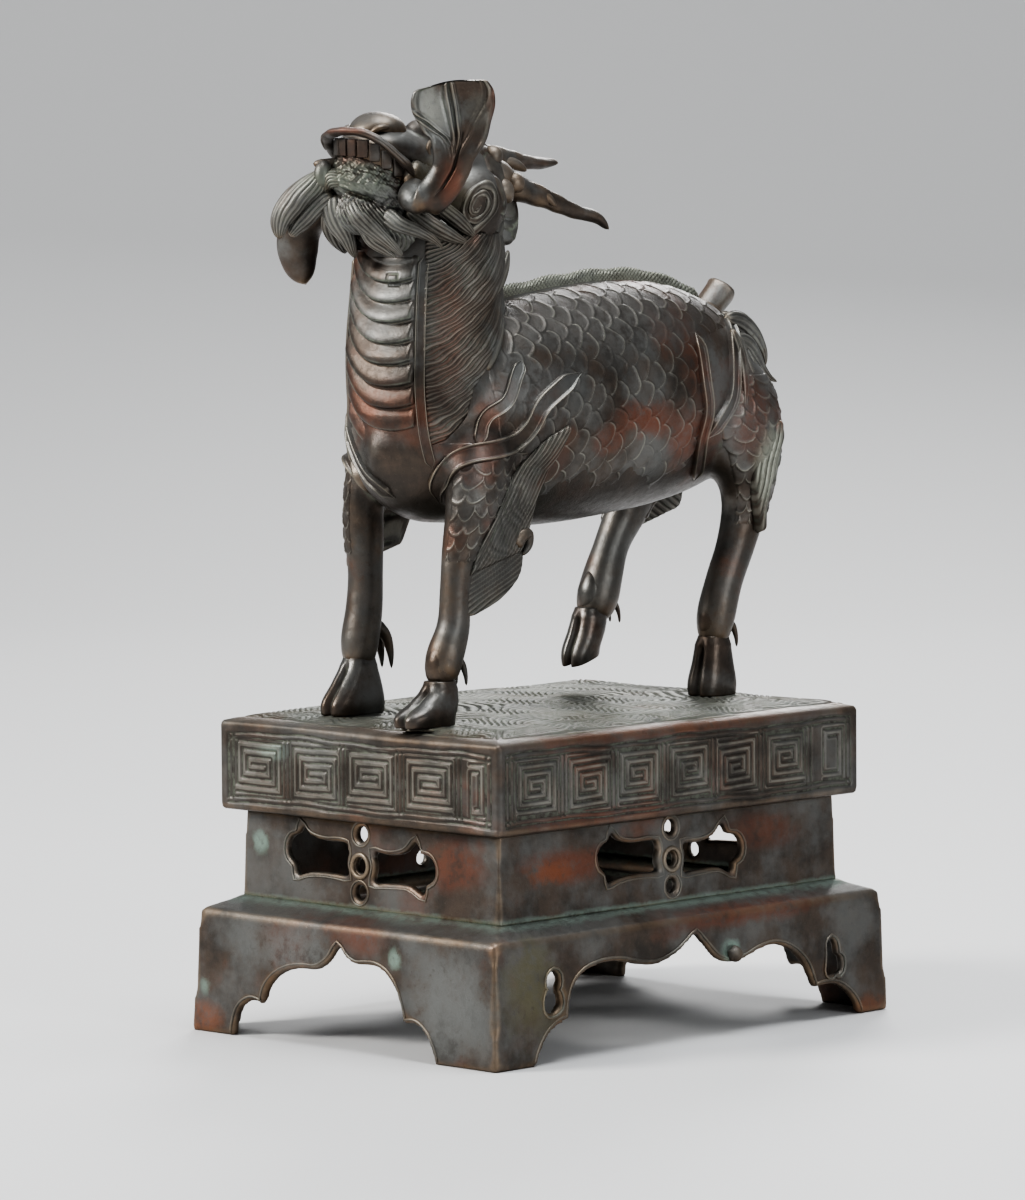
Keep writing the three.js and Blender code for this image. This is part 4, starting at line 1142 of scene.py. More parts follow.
def rump_hair(tree):
    """On each side of the tail: curled locks, locks laid over the rump and strands down the thigh."""
    curls = [
        [
            (17, 60, 194.4, 1.6, 2.2), (16.6, 65, 194, 1.9, 2.8), (15.2, 71, 191.8, 1.9, 3),
            (14.4, 76.4, 187.6, 1.7, 2.4), (14.2, 79.4, 183.4, 1.1, 1.3), (14.2, 80.2, 180.4, 0.35, 0.35),
        ],
        [
            (20.6, 60, 189, 1.7, 2.2), (19.8, 65.4, 187.6, 1.9, 2.6), (18, 71, 184, 1.8, 2.4),
            (16.8, 75.6, 179.8, 1.4, 1.7), (16.8, 79, 177.2, 0.9, 0.9), (17, 82, 175.8, 0.3, 0.3),
        ],
        [
            (9, 66, 194.6, 1.8, 2.4), (9, 72, 192.6, 1.9, 2.8), (8.4, 78, 188, 1.7, 2.4),
            (8, 81.4, 183, 1.1, 1.4), (8.4, 83.2, 179.4, 0.35, 0.35),
        ],
    ]
    strands_down = [
        [
            (21, 58.4, 192, 1.1, 1.5), (23.4, 59.4, 185.4, 1.4, 1.9), (25.6, 58.6, 178, 1.3, 1.7),
            (27, 57.4, 171, 0.9, 1), (27, 57, 166, 0.3, 0.3),
        ],
        [
            (20.8, 61.4, 190, 1.1, 1.5), (22.4, 62, 184, 1.4, 1.9), (24.2, 63, 178, 1.3, 1.7),
            (25.8, 63, 172, 0.9, 1), (26.2, 62.6, 167, 0.3, 0.3),
        ],
        [
            (18.8, 64.4, 189, 1.1, 1.5), (20.2, 66, 184, 1.4, 1.8), (22, 67.6, 178.6, 1.2, 1.5),
            (23.6, 67.4, 173, 0.35, 0.35),
        ],
    ]
    laid = [
        [(3.6, 76, 192), (4.2, 82, 185), (3.4, 84, 177), (4.8, 84, 168)],
        [(8.6, 76, 190), (10.4, 81, 182), (10.2, 82, 174), (12, 80, 165)],
        [(13.6, 74, 187), (16.4, 77, 179), (17, 78, 171), (18, 76, 163)],
    ]
    made = []
    for side in (1, -1):
        for line in laid:
            spots, _ = on_skin(tree, shifted(line, side), sink=0.3)
            sizes = ((1.5, 2), (1.8, 2.9), (1.4, 2.3), (0.3, 0.3))
            stations = [(*spot, *size) for spot, size in zip(spots, sizes)]
            made.append(lock("rump_lock", stations, 30, 30, 6, deep=0.35))
        for line in curls:
            made.append(lock("rump_curl", shifted(line, side), 44, 40, 9, deep=0.42))
        for line in strands_down:
            made.append(lock("rump_strand", shifted(line, side), 28, 34, 6, deep=0.3))
    return made


def feather(name, outline, x, thick, side, lines, pitch, tree=None):
    """A striated fin: a closed plate whose outline runs along two edges from root to tip."""
    front, back = outline
    stations_f = [(x, y, z, 0, 0) for y, z in front]
    stations_b = [(x, y, z, 0, 0) for y, z in back]

    def over_skin(y, z):
        """How far out the skin is there."""
        start = Vector((MIDLINE + side * 60, y, z))
        hit = tree.ray_cast(start, Vector((-side, 0, 0)))[0]
        return hit.x if hit is not None and side * (hit.x - MIDLINE) > 0 else MIDLINE

    def place(u, v):
        turn = 2 * np.pi * u
        share = (1 - np.cos(turn)) / 2
        a = through(stations_f, v)[:, :3]
        b = through(stations_b, v)[:, :3]
        spot = a + (b - a) * share[:, None]
        if tree is not None:
            skin_x = np.array([over_skin(p[1], p[2]) for p in spot])
            farther = np.maximum if side > 0 else np.minimum
            spot[:, 0] = farther(spot[:, 0], skin_x)
        body = np.sqrt(np.clip(np.abs(np.sin(turn)), 0, 1)) * np.sign(np.sin(turn))
        q = lines[0] * spot[:, 1] + lines[1] * spot[:, 2]
        raised, furrow = strands(q + 0.2 * np.sin(spot[:, 2] * 0.5), pitch, rise=0.5)
        end = rounded(np.minimum(v, 1 - v) / 0.05)
        spot[:, 0] += side * body * (thick * 0.5 + raised * 0.8 - 0.3) * end
        # Painted highlights on the strands and painted shade in the furrows.
        return spot, 0.6 * (1 - furrow) - 0.9 * furrow

    across, grain = (84, 0.36) if side > 0 else (36, 0.8)
    return marked(name, across, int(length_of(stations_f) / grain), place, SEAM_GAP)


def fins(tree):
    """Feathered fins behind the elbows and hocks."""
    x = MIDLINE + 23.4
    made = []
    for name, side in (("elbow_feather", 1), ("far_elbow_feather", -1)):
        made.append(feather(name, (
            [(-14, 168.2), (-22, 164.6), (-29, 158.6), (-37, 151), (-42, 144), (-47, 136), (-49.6, 128.6)],
            [
                (-13, 167.6), (-15.6, 161.6), (-19.6, 154.6), (-23.6, 147.6), (-26, 141), (-28, 137),
                (-29.4, 134),
            ],
        ), MIDLINE + side * 23.4, 3.2, side, (0.8, -0.6), pitch=1.2, tree=tree))
    lobe = limb("elbow_curl", [
        (x + 0.6, -32, 135.6, 1.3, 2), (x + 0.8, -29.2, 138.6, 1.5, 1.9), (x + 0.6, -27, 138.8, 1.4, 1.5),
        (x + 0.4, -26.6, 136.2, 1.3, 1.2), (x, -28.6, 133, 0.9, 0.9),
    ], sides=18, steps=40, ends=(0.1, 0.2))
    lower = feather("elbow_fin", (
        [(-49, 135), (-51, 128), (-52, 121.6), (-52, 117.6)],
        [(-27.6, 135), (-29, 128.2), (-35, 122.6), (-47.4, 117.6)],
    ), x - 0.9, 2.8, 1, (-0.42, 0.9), pitch=1.3)
    hock = feather("hock_fin", (
        [(68, 165.6), (65.4, 160), (62.6, 155), (61, 150), (61.6, 145), (62.6, 139), (63.4, 134)],
        [(73, 165.8), (73.6, 161), (71.6, 156), (69.8, 151), (67.8, 147), (66.4, 142), (65.4, 134.6)],
    ), MIDLINE + 26.2, 4.2, 1, (0.93, -0.3), pitch=1.9)
    far_hock = feather("far_hock_fin", (
        [(57, 152), (57.6, 146), (58.4, 139), (59.6, 133.4)],
        [(78, 150), (80.2, 144), (79, 139.6), (72.8, 137.4)],
    ), MIDLINE - 18.8, 2.4, 1, (0.5, 0.8), pitch=1.9)
    return [*made, lobe, lower, hock, far_hock]


def hoof(name, x, middle, half, top_y, top_z, ground=GROUND):
    """A cloven hoof, flared from its coronet to the ground, with a cleft up its front."""
    rise = ground + (top_z - ground) * 0.6

    def place(u, v):
        stations = [
            (x, middle, ground, 5.5, half), (x, middle, ground + 2.6, 5.9, half + 0.1),
            (x, middle + (top_y - middle) * 0.65, rise, 5.1, (half + 4.6) / 2),
            (x, top_y, top_z - 1, 4.3, 4.7), (x, top_y + 0.2, top_z + 1.2, 3.6, 4.2),
        ]
        spot = through(stations, v)
        turn = 2 * np.pi * u
        c, s = np.cos(turn), np.sin(turn)
        low = 1 - smooth(v, 0.0, 0.8)
        cleft = bump(turn - 1.5 * np.pi, 0.16) * smooth(0.92 - v, 0, 0.25)
        heel = bump(turn - 0.5 * np.pi, 0.3) * 0.5 * low
        squarish = (np.abs(c) ** 2.6 + np.abs(s) ** 2.6) ** (-1 / 2.6)
        foot_edge = rounded(v / 0.05)
        edge = np.where(v < 0.05, 0.9 + 0.1 * foot_edge, 1.0)
        close = np.where((v <= 0) | (v >= 1), 0.0, 1.0)
        reach = squarish * edge * close
        two_toes = 1 + 0.05 * low * np.cos(2 * (turn - 1.5 * np.pi))
        wide = spot[:, 3] * reach * c * two_toes
        deep = spot[:, 4] * reach * s
        deep += close * (cleft * 2.3 - heel)
        coronet = 0.12 * bump(v - 0.83, 0.05)
        wide += coronet * c
        deep += coronet * s
        return np.stack([spot[:, 0] + wide, spot[:, 1] + deep, spot[:, 2]], 1)

    return lattice(name, 72, 48, place)


def hooves():
    made = [
        hoof("hoof_fore_left", MIDLINE + 20, -63.2, 9.2, -57.6, 99.6),
        hoof("hoof_fore_right", MIDLINE - 20, -51.7, 9.9, -49.2, 103.6),
        hoof("hoof_hind_left", MIDLINE + 19, 51.8, 6.9, 52.4, 104.6),
    ]
    raised = hoof("hoof_hind_right", MIDLINE - 18, 36.8, 5.4, 40.6, 111.4, ground=97)
    co = points_of(raised)
    low = 1 - smooth(co[:, 2], 97, 108)
    co[:, 2] += low * (co[:, 1] - 36.8) * 0.32
    co[:, 0] = MIDLINE - 18 + (co[:, 0] - MIDLINE + 18) * (1 - 0.2 * low)
    move_points(raised, co)
    return [*made, raised]


def spurs():
    """Hooked spurs behind the pasterns, longest on the right foreleg."""
    made = []
    for x, y, z, size in (
        (20, -52.4, 106, 0.62), (-20, -43.6, 112, 1.0), (19, 57, 109, 0.62), (-18, 48.4, 113, 0.5),
    ):
        for aside in (-1.7, 1.7):
            line = [
                (x + aside, y - 0.8, z + 1, 1.7 * size, 2.2 * size),
                (x + aside, y + 3.2 * size, z - 2.6 * size, 1.4 * size, 1.7 * size),
                (x + aside * 1.1, y + 4.8 * size, z - 7.4 * size, 0.9 * size, 1.1 * size),
                (x + aside * 1.1, y + 5.2 * size, z - 11.8 * size, 0.3, 0.3),
            ]
            made.append(form("spur", line, sides=14, steps=20))
    return made


def pasterns():
    """The slight swelling above each hoof."""
    made = []
    for x, y, z, size in (
        (20, -57, 103, 4.3), (-20, -49.2, 107, 4.5), (19, 52.3, 108, 4.4), (-18, 42, 114, 4.5),
    ):
        low, top = size - 1.2, size - 1.4
        line = shifted([(x, y, z - 5, low, low), (x, y, z, size, size), (x, y - 0.2, z + 9, top, top)])
        made.append(limb("pastern", line, sides=28, steps=24, ends=(0.3, 0.45), level=True))
    return made


# The stand

# The three tiers: half sizes at the bottom, how far the walls lean in, heights and wall thickness.
SLAB = dict(x=54.3, y=72.0)
WAIST = dict(x=50.2, y=67.8, lean=0.9, low=36.9, high=61.4, wall=2.6)
FOOT = dict(x=59.4, y=78.9, lean=1.7, ledge=34.0, rise=36.6, wall=2.8)


def groove(distance, wide=0.33):
    """The section of a square-shouldered cut, 1 deep where the distance is 0."""
    return np.exp(-((distance / wide) ** 4))


def spiral(half_w, half_h, gap):
    """The corners of a squared spiral, from outside in."""
    spots = [(-half_w, -half_h), (half_w, -half_h), (half_w, half_h), (-half_w, half_h)]
    w, h = half_w, half_h
    while w > gap and h > gap:
        spots.append((-w, -h + gap))
        w, h = w - gap, h - gap
        spots += [(w, -h), (w, h), (-w, h)]
    return np.array(spots)


# The frets' middle height, the gap between a spiral's turns and half the width of its cut.
FRET_MIDDLE, FRET_GAP, FRET_CUT = 73.9, 2.05, 0.36
LONG_PITCH, SHORT_PITCH = 19.7, 22.2
# Where the frets stand along a long and a short side: whole squares, and a narrow one at the end.
LONG_FRETS = [-56.6 + LONG_PITCH * k for k in range(6)] + [61.6]
SHORT_FRETS = [-38.6 + SHORT_PITCH * k for k in range(4)] + [46.2]


def fret_depth(s, z, centres, sizes):
    """How deep the squared spirals are cut, s along a face and z up it, and where the cuts' edges glint."""
    cut, edge = np.zeros_like(s), np.zeros_like(s)
    for n, (at, (wide, high)) in enumerate(zip(centres, sizes)):
        near = (np.abs(s - at) < wide / 2 + 1.5) & (np.abs(z - FRET_MIDDLE) < high / 2 + 1.5)
        a = (s[near] - at) * (-1 if n % 2 else 1)
        b = (z[near] - FRET_MIDDLE) * (-1 if n % 3 == 1 else 1)
        best = np.full(len(a), 9.0)
        corners = spiral(wide / 2, high / 2, FRET_GAP)
        for (x0, y0), (x1, y1) in zip(corners, corners[1:]):
            dx, dy = x1 - x0, y1 - y0
            share = np.clip(((a - x0) * dx + (b - y0) * dy) / (dx * dx + dy * dy + 1e-9), 0, 1)
            best = np.minimum(best, np.hypot(a - x0 - share * dx, b - y0 - share * dy))
        cut[near] = np.maximum(cut[near], groove(best, FRET_CUT))
        edge[near] = np.maximum(edge[near], bump(best - 0.85, 0.26))
    return cut, edge


# The size of the grid on the two sides that the photo shows, and on the other two.
SEEN_GRAIN, FAR_GRAIN = 0.38, 0.85
# Once round the slab's wall: how far out from its face, height, and 1 on the engraved face.
SLAB_PROFILE = [
    (-7.6, 87.6, 0), (-3.4, 87.0, 0), (-0.7, 86.3, 0), (-0.15, 85.7, 0), (0, 85.0, 1), (0, 63.2, 1),
    (-0.2, 62.2, 0), (-0.9, 61.7, 0), (-8.4, 61.7, 0), (-8.6, 62.2, 0), (-8.6, 64.2, 0), (-3.2, 64.4, 0),
    (-3.0, 83.2, 0), (-7.6, 84.4, 0), (-7.6, 87.6, 0),
]


def slab_walls():
    """The slab's four sides with their key frets, round corners, inturned lip and hollow inside."""
    x, y = SLAB["x"], SLAB["y"]
    corner = 1.4
    rows = []
    for (o0, z0, f0), (o1, z1, f1) in zip(SLAB_PROFILE, SLAB_PROFILE[1:]):
        count = 58 if f0 and f1 else max(1, int(math.hypot(o1 - o0, z1 - z0) / 3))
        rows += [(o0 + (o1 - o0) * k / count, z0 + (z1 - z0) * k / count, f0 and f1) for k in range(count)]
    rows.append(SLAB_PROFILE[-1])
    rows = np.array(rows, float)
    sides = [(-y, y, 1), (x, -x, 2), (y, -y, 3), (-x, x, 4)]
    faces = []
    for start, end, which in sides:
        count = int(abs(end - start) / (SEEN_GRAIN if which in (1, 4) else FAR_GRAIN))
        back = math.copysign(corner, end - start)
        faces += [(which, s, 0.0) for s in np.linspace(start + back, end - back, count)]
        faces += [(which, end - back, turn) for turn in (0.25, 0.5, 0.75)]
    faces.append(faces[0])
    which = np.array([f[0] for f in faces])
    s_at = np.array([f[1] for f in faces])
    bend = np.array([f[2] for f in faces]) * math.pi / 2

    def place(u, v):
        i = np.rint(u * (len(faces) - 1)).astype(int)
        j = np.rint(v * (len(rows) - 1)).astype(int)
        side, s, turn = which[i], s_at[i], bend[i]

        def by_side(*values):
            return np.select([side == k for k in (1, 2, 3, 4)], values)

        out, z, face = rows[j].T
        face = face > 0
        c, sn = np.cos(turn), np.sin(turn)
        # Outward directions and base points of each side, walked anticlockwise from the +X side.
        ox = by_side(c, -sn, -c, sn)
        oy = by_side(sn, c, -sn, -c)
        bx = by_side(x - corner, s, corner - x, s)
        by = by_side(s, y - corner, s, corner - y)
        wave = 0.5 * np.sin(s * 0.11 + side) + 0.25 * np.sin(s * 0.31 + 2 * side)
        long = np.isin(side, (1, 3))
        run = by_side(s, -s, -s, s)
        level = z + 0.35 * wave
        cut_long, edge_long = fret_depth(run, level, LONG_FRETS, [(15.4, 14.2)] * 6 + [(8, 14)])
        cut_short, edge_short = fret_depth(run, level, SHORT_FRETS, [(17.8, 14.2)] * 4 + [(5.4, 14)])
        cut = np.where(long, cut_long, cut_short) * (turn == 0)
        edge = np.where(long, edge_long, edge_short) * (turn == 0)
        reach = np.where(long, y, x)
        end = np.abs(s) - (reach - 3.2)
        for line_at, sway in ((83.6, 0.7), (82.0, 0.7), (64.2, 0.5), (65.8, 0.5)):
            cut = np.maximum(cut, groove(z - line_at - wave * sway) * (end < 0))
        for inset in (3.2, 4.9):
            cut = np.maximum(cut, groove(np.abs(s) - (reach - inset)) * (np.abs(z - FRET_MIDDLE) < 9.4))
        for k in range(7):
            at = np.where(long, -66.5 + LONG_PITCH * k, -49.6 + SHORT_PITCH * k)
            bars = groove(np.abs(run - at) - 0.9, FRET_CUT) * (k < np.where(long, 7, 5))
            cut = np.maximum(cut, bars * (np.abs(z - FRET_MIDDLE) < 8.6))
        swell = 0.25 * np.sin(s * 0.07 + side * 1.7) * face
        out = out - 0.5 * cut * face + swell
        # Painted glints beside the cuts and painted shade in them.
        line = (0.8 * edge * (1 - cut) - cut) * face
        reach_out = np.where(out < -corner, 0, out + corner)
        inward = np.where(out < -corner, out + corner, 0)
        px = bx + ox * reach_out
        py = by + oy * reach_out
        # Inner parts of the profile keep square corners: they are drawn in from both sides at a corner.
        inset_x = np.where(np.abs(px) > x - corner + inward, np.sign(px) * (x - corner + inward), px)
        inset_y = np.where(np.abs(py) > y - corner + inward, np.sign(py) * (y - corner + inward), py)
        px = np.where(inward < 0, inset_x, px)
        py = np.where(inward < 0, inset_y, py)
        return np.stack([px, py, z], 1), line

    return marked("slab_walls", len(faces) - 1, len(rows) - 1, place, 0.01)


# The engraved lines round the slab's top: how far in from the edge, and how wide.
BORDER_LINES = ((4.4, 0.42), (15.6, 0.5), (17.6, 0.45))


def slab_top():
    """The domed top with its engraved border, mitred corners, waves and hatching."""
    half_x, half_y = SLAB["x"], SLAB["y"]

    def place(u, v):
        x = (u * 2 - 1) * (half_x - 1.6)
        y = (v * 2 - 1) * (half_y - 1.6)
        in_x, in_y = half_x - np.abs(x), half_y - np.abs(y)
        inset = np.minimum(in_x, in_y)
        dome = 0.85 * (1 - (x / half_x) ** 2) * (1 - (y / half_y) ** 2)
        z = 86.35 + 1.75 * smooth(inset, 0.2, 8.4) + dome
        run = np.where(in_x < in_y, y, x)
        wander = 0.35 * np.sin(run * 0.23) + 0.2 * np.sin(run * 0.71 + 1)
        cut = sum(groove(inset - at + wander, wide) for at, wide in BORDER_LINES)
        mitre = np.abs(in_x - in_y)
        cut += groove(mitre - 1.2, 0.5) * (inset < 15.6)
        tooth_at = ((run + 0.9 * inset * np.sign(np.sin(run * 0.21))) / 2.1) % 1
        wave_at = ((inset + 1.8 * np.sin(run * 0.42)) / 2.2) % 1
        band = (inset > 5.4) & (inset < 14.6) & (mitre > 2.6)
        patchy = smooth(np.sin(run * 0.21 + 1) + np.sin(run * 0.087), -0.3, 0.5)
        hatch = groove(np.minimum(tooth_at, 1 - tooth_at), 0.17)
        wave = groove(np.minimum(wave_at, 1 - wave_at), 0.17)
        cut += band * (hatch * patchy + wave * (1 - patchy))
        inner = inset > 18.8
        bow = np.hypot((x + 2) * 1.3, (y - 6) * 0.8)
        petal_at = ((bow + 3.2 * np.sin(np.arctan2(y - 6, x + 2) * 6)) / 3.3) % 1
        comb_at = ((x * 0.8 + y * 0.5 + 2 * np.sin(y * 0.3)) / 2.1) % 1
        shell = smooth(np.sin(x * 0.19 + 0.4) * np.sin(y * 0.13 + 1), -0.1, 0.15)
        cut += inner * shell * groove(np.minimum(petal_at, 1 - petal_at), 0.15)
        cut += inner * (1 - shell) * groove(np.minimum(comb_at, 1 - comb_at), 0.17)
        edge = smooth(inset, 1.6, 3.2)
        z = z - 0.62 * np.clip(cut, 0, 1) * edge + 0.22 * np.sin(x * 0.13 + 1) * np.sin(y * 0.11) * edge
        z = z - 1.4 * (1 - edge)
        # Slightly paler over the top, with painted shade in the engraved cuts.
        return np.stack([x, y, z], 1), 0.3 - np.clip(cut, 0, 1.1)

    return marked("slab_top", 196, 252, place)


def drawn_in(tier, by, z):
    """A row of a tier's stack: its half sizes drawn in by a distance, at a height."""
    return (tier["x"] - by, tier["y"] - by, z)


def tiers(name, rows):
    """A closed stack of rectangles, each (half x, half y, z)."""
    last = len(rows) + 1

    def place(u, v):
        i = np.rint(u * 4).astype(int) % 4
        j = np.rint(v * last).astype(int)
        row = np.array([(0, 0, rows[0][2]), *rows, (0, 0, rows[-1][2])])[j]
        sx = np.array([1, -1, -1, 1])[i]
        sy = np.array([1, 1, -1, -1])[i]
        return np.stack([row[:, 0] * sx, row[:, 1] * sy, row[:, 2]], 1)

    return lattice(name, 4, last, place)


def runs(*parts):
    """A flat outline made of smooth runs that meet at sharp cusps."""
    made = []
    for part in parts:
        stations = [(a, b, 0.0) for a, b in part]
        count = max(2, int(length_of(stations) / 1.2))
        made += [tuple(p[:2]) for p in through(stations, np.linspace(0, 1, count + 1))[:-1]]
    made.append(parts[-1][-1])
    return made


def cutter(name, outline, axis, start, end):
    """A flat outline pushed through along x or y."""
    flat = np.array(outline, float)
    deselect()
    bpy.ops.mesh.primitive_circle_add(vertices=len(flat), fill_type="NGON")
    piece = bpy.context.object
    piece.name = piece.data.name = name
    depth = np.full(len(flat), float(start))
    columns = [flat[:, 0], depth, flat[:, 1]] if axis == "y" else [depth, flat[:, 0], flat[:, 1]]
    move_points(piece, np.stack(columns, 1))
    push = (0, end - start, 0) if axis == "y" else (end - start, 0, 0)
    edit(piece, (bpy.ops.mesh.extrude_region_move, {"TRANSFORM_OT_translate": {"value": push}}))
    merged(piece, 0.003)
    return piece


def cut_away(piece, cutters):
    tool = joined("cutter", cutters)
    modify(piece, "BOOLEAN", operation="DIFFERENCE", object=tool, solver="EXACT", use_self=True)
    bpy.data.objects.remove(tool)


def cut_through(shell, outlines, axis, sign, start, end):
    """Holes of the given outlines cut through one wall of a tier."""
    cut_away(shell, [cutter("hole", line, axis, sign * start, sign * end) for line in outlines])


def bead(name, line, radius, facing, closed=True):
    """A thin round bar along a line of points on a face that looks along x or y."""
    spots = np.array(line, float)
    if closed:
        ahead = unit(np.roll(spots, -1, axis=0) - np.roll(spots, 1, axis=0))
        spots, ahead = np.vstack([spots, spots[:1]]), np.vstack([ahead, ahead[:1]])
    else:
        ahead = unit(np.gradient(spots, axis=0))
    out = np.array([1.0, 0, 0] if facing == "x" else [0, 1.0, 0])
    aside = unit(np.cross(ahead, out))
    thick = np.full(len(spots), float(radius))
    if not closed:
        thick[[0, -1]] = 0

    def place(u, v):
        j = np.rint(v * (len(spots) - 1)).astype(int)
        turn = 2 * np.pi * u
        reach = thick[j]
        return spots[j] + aside[j] * (reach * np.cos(turn))[:, None] + out * (reach * np.sin(turn))[:, None]

    return lattice(name, 8, len(spots) - 1, place)


def uneven(piece, depth, size):
    """Long shallow waves, as on a surface filed by hand."""
    co = points_of(piece)
    normal = np.zeros(len(co) * 3, np.float32)
    piece.data.vertices.foreach_get("normal", normal)
    wave = np.zeros(len(co))
    for k in range(1, 5):
        way = RNG.normal(size=3)
        phase = RNG.uniform(0, 6)
        wave += np.sin(co @ (way / np.linalg.norm(way)) * (2 * math.pi * k**0.5 / size) + phase) / k
    move_points(piece, co + normal.reshape(-1, 3) * (depth * wave / 1.6)[:, None])


def offset_line(outline, by):
    """A closed flat outline moved outwards by a distance, whichever way round it runs."""
    p = np.array(outline, float)
    after = np.roll(p, -1, axis=0)
    ahead = unit(after - np.roll(p, 1, axis=0))
    side = np.stack([ahead[:, 1], -ahead[:, 0]], 1)
    area = np.sum(p[:, 0] * after[:, 1] - after[:, 0] * p[:, 1])
    return p + side * by * (1 if area > 0 else -1)


def circle(u, v, radius):
    turns = [2 * math.pi * k / 28 for k in range(28)]
    return [(u + radius * math.cos(turn), v + radius * math.sin(turn)) for turn in turns]


RING_Z, HOLE_RADIUS = 49.2, 2.1
LEFT_FIELD = runs(
    [(-23.8, 10.2), (-21.4, 7.4), (-15, 5.6), (-8.6, 5.8), (-5.6, 5.6)],
    [(-5.6, 5.6), (-4.9, 3.4), (-5.7, 0.4), (-4.4, -3.4)],
    [(-4.4, -3.4), (-10, -2.9), (-17, -2.9), (-22, -3.6), (-25.3, -4.8)],
    [(-25.3, -4.8), (-25.8, -1.4), (-28.3, 0.6), (-28.8, 3.2), (-27.6, 5.8), (-24.6, 7), (-23.8, 10.2)],
)[:-1]
RIGHT_FIELD = runs(
    [(21.3, 8.9), (17.6, 5.2), (11, 3.6), (4.4, 4.4)], [(4.4, 4.4), (5.7, 0.6), (4.6, -4.4)],
    [(4.6, -4.4), (12, -3.9), (19, -3.9), (24.8, -6.5)],
    [(24.8, -6.5), (25.2, -3.2), (28, -1.6), (28.8, 1.2), (27, 4), (22.8, 5.2), (21.3, 8.9)],
)[:-1]


def cartouche(offset):
    """The outlines of one cloud cartouche: two fields, its ring's bore and two small holes."""
    holes = [circle(0, high, HOLE_RADIUS) for high in (0, 8.7, -7.4)]
    return [[(offset + a, RING_Z + b) for a, b in line] for line in (LEFT_FIELD, RIGHT_FIELD, *holes)]


def on_face(line, axis, sign, lean, reach, low, out):
    """Flat points put on a leaning face of the stand."""
    spots = []
    for a, b in line:
        depth = sign * (reach - lean * (b - low) + out)
        spots.append((depth, a, b) if axis == "x" else (a, depth, b))
    return spots


# The stand's four faces: the axis that each looks along, and its sign.
FACES = (("x", 1), ("x", -1), ("y", -1), ("y", 1))
# How far outside an opening its rim runs, and how far the rim's middle lies off the face.
RIM_OUT, RIM_SINK = 1.3, -0.1


def waist():
    """The recessed tier: four walls with their cartouches and rims."""
    w = WAIST
    lean = w["lean"] / (w["high"] - w["low"])
    shell = tiers("waist_walls", [drawn_in(w, 0, w["low"]), drawn_in(w, w["lean"], w["high"])])
    inner = [drawn_in(w, w["wall"], w["low"] - 1), drawn_in(w, 3.5, w["high"] + 1)]
    cut_away(shell, [tiers("hollow", inner)])
    beads = []
    for axis, sign in FACES:
        reach, offset = w[axis], 0 if axis == "x" else -3.5
        face = (axis, sign, lean, reach, w["low"])
        outlines = cartouche(offset)
        cut_through(shell, outlines, axis, sign, reach - 6, reach + 2)
        for n, line in enumerate(outlines):
            if n == 2:
                ring = on_face(circle(offset, RING_Z, 3.1), *face, -0.15)
                beads.append(bead("ring", ring, 0.75, axis))
            else:
                beads.append(bead("rim", on_face(offset_line(line, RIM_OUT), *face, RIM_SINK), 0.32, axis))
    modify(shell, "REMESH", mode="VOXEL", voxel_size=0.85)
    modify(shell, "SMOOTH", factor=0.5, iterations=3)
    uneven(shell, 0.16, 34)
    return shell, joined("waist_rims", beads)


ARCH_FRONT = runs(
    [(-42.6, -1), (-42.2, 3.5), (-40.2, 8), (-36, 10.2), (-31.7, 9.4)],
    [
        (-31.7, 9.4), (-30, 14.4), (-27.1, 17.4), (-21.2, 20.2), (-16, 21), (-10.5, 21.3), (-5.6, 24.2),
        (-2.5, 28.4),
    ],
    [
        (-2.5, 28.4), (1.2, 25), (4.6, 23.7), (8, 23.9), (12, 24), (15.8, 22.8), (19.4, 19.6), (21.8, 15),
        (23.6, 9.6),
    ],
    [(23.6, 9.6), (28.4, 9.8), (32, 7.6), (34.6, 4), (36.6, -1)],
)
ARCH_SIDE = runs(
    [(-63.4, -1), (-61, 4.4), (-57.6, 8.4), (-53.4, 10.6), (-50, 11.2)],
    [
        (-50, 11.2), (-49, 16.4), (-47, 20.4), (-43, 23.2), (-37.5, 24.6), (-29.5, 24.6), (-21, 22.8),
        (-14, 22.4), (-6.4, 24.6), (1.2, 29.2),
    ],
    [
        (1.2, 29.2), (5.2, 25.2), (9.6, 21.4), (14.7, 19.8), (20.6, 20.4), (27.6, 22.4), (33.6, 22.8),
        (39.6, 20.8), (45, 16.4), (48.4, 9),
    ],
    [(48.4, 9), (52.6, 9.6), (57.4, 9.2), (62, 6.8), (65.6, 3), (67, -1)],
)
KEYHOLE_NEAR = runs(
    [(0.4, 5.6), (2.3, 4.8), (2.7, 2.2), (1.8, 0.4)],
    [(1.8, 0.4), (2.8, -1.4), (2.7, -4.2), (0.6, -5.6), (-2.4, -5.5), (-3.2, -3), (-2.4, -0.4), (-1.3, 1)],
    [(-1.3, 1), (-2.2, 2.2), (-1.5, 4.4), (0.4, 5.6)],
)[:-1]
KEYHOLE_FAR = runs(
    [(-0.6, 6.2), (1, 4.8), (1.6, 2.4), (1.8, 0.9)],
    [(1.8, 0.9), (3.6, -0.2), (3.8, -3), (2.2, -5.2), (0.3, -4.4)],
    [(0.3, -4.4), (-1.2, -5.4), (-3, -4.4), (-2.7, -1), (-2.4, 2), (-2.3, 4.8), (-0.6, 6.2)],
)[:-1]


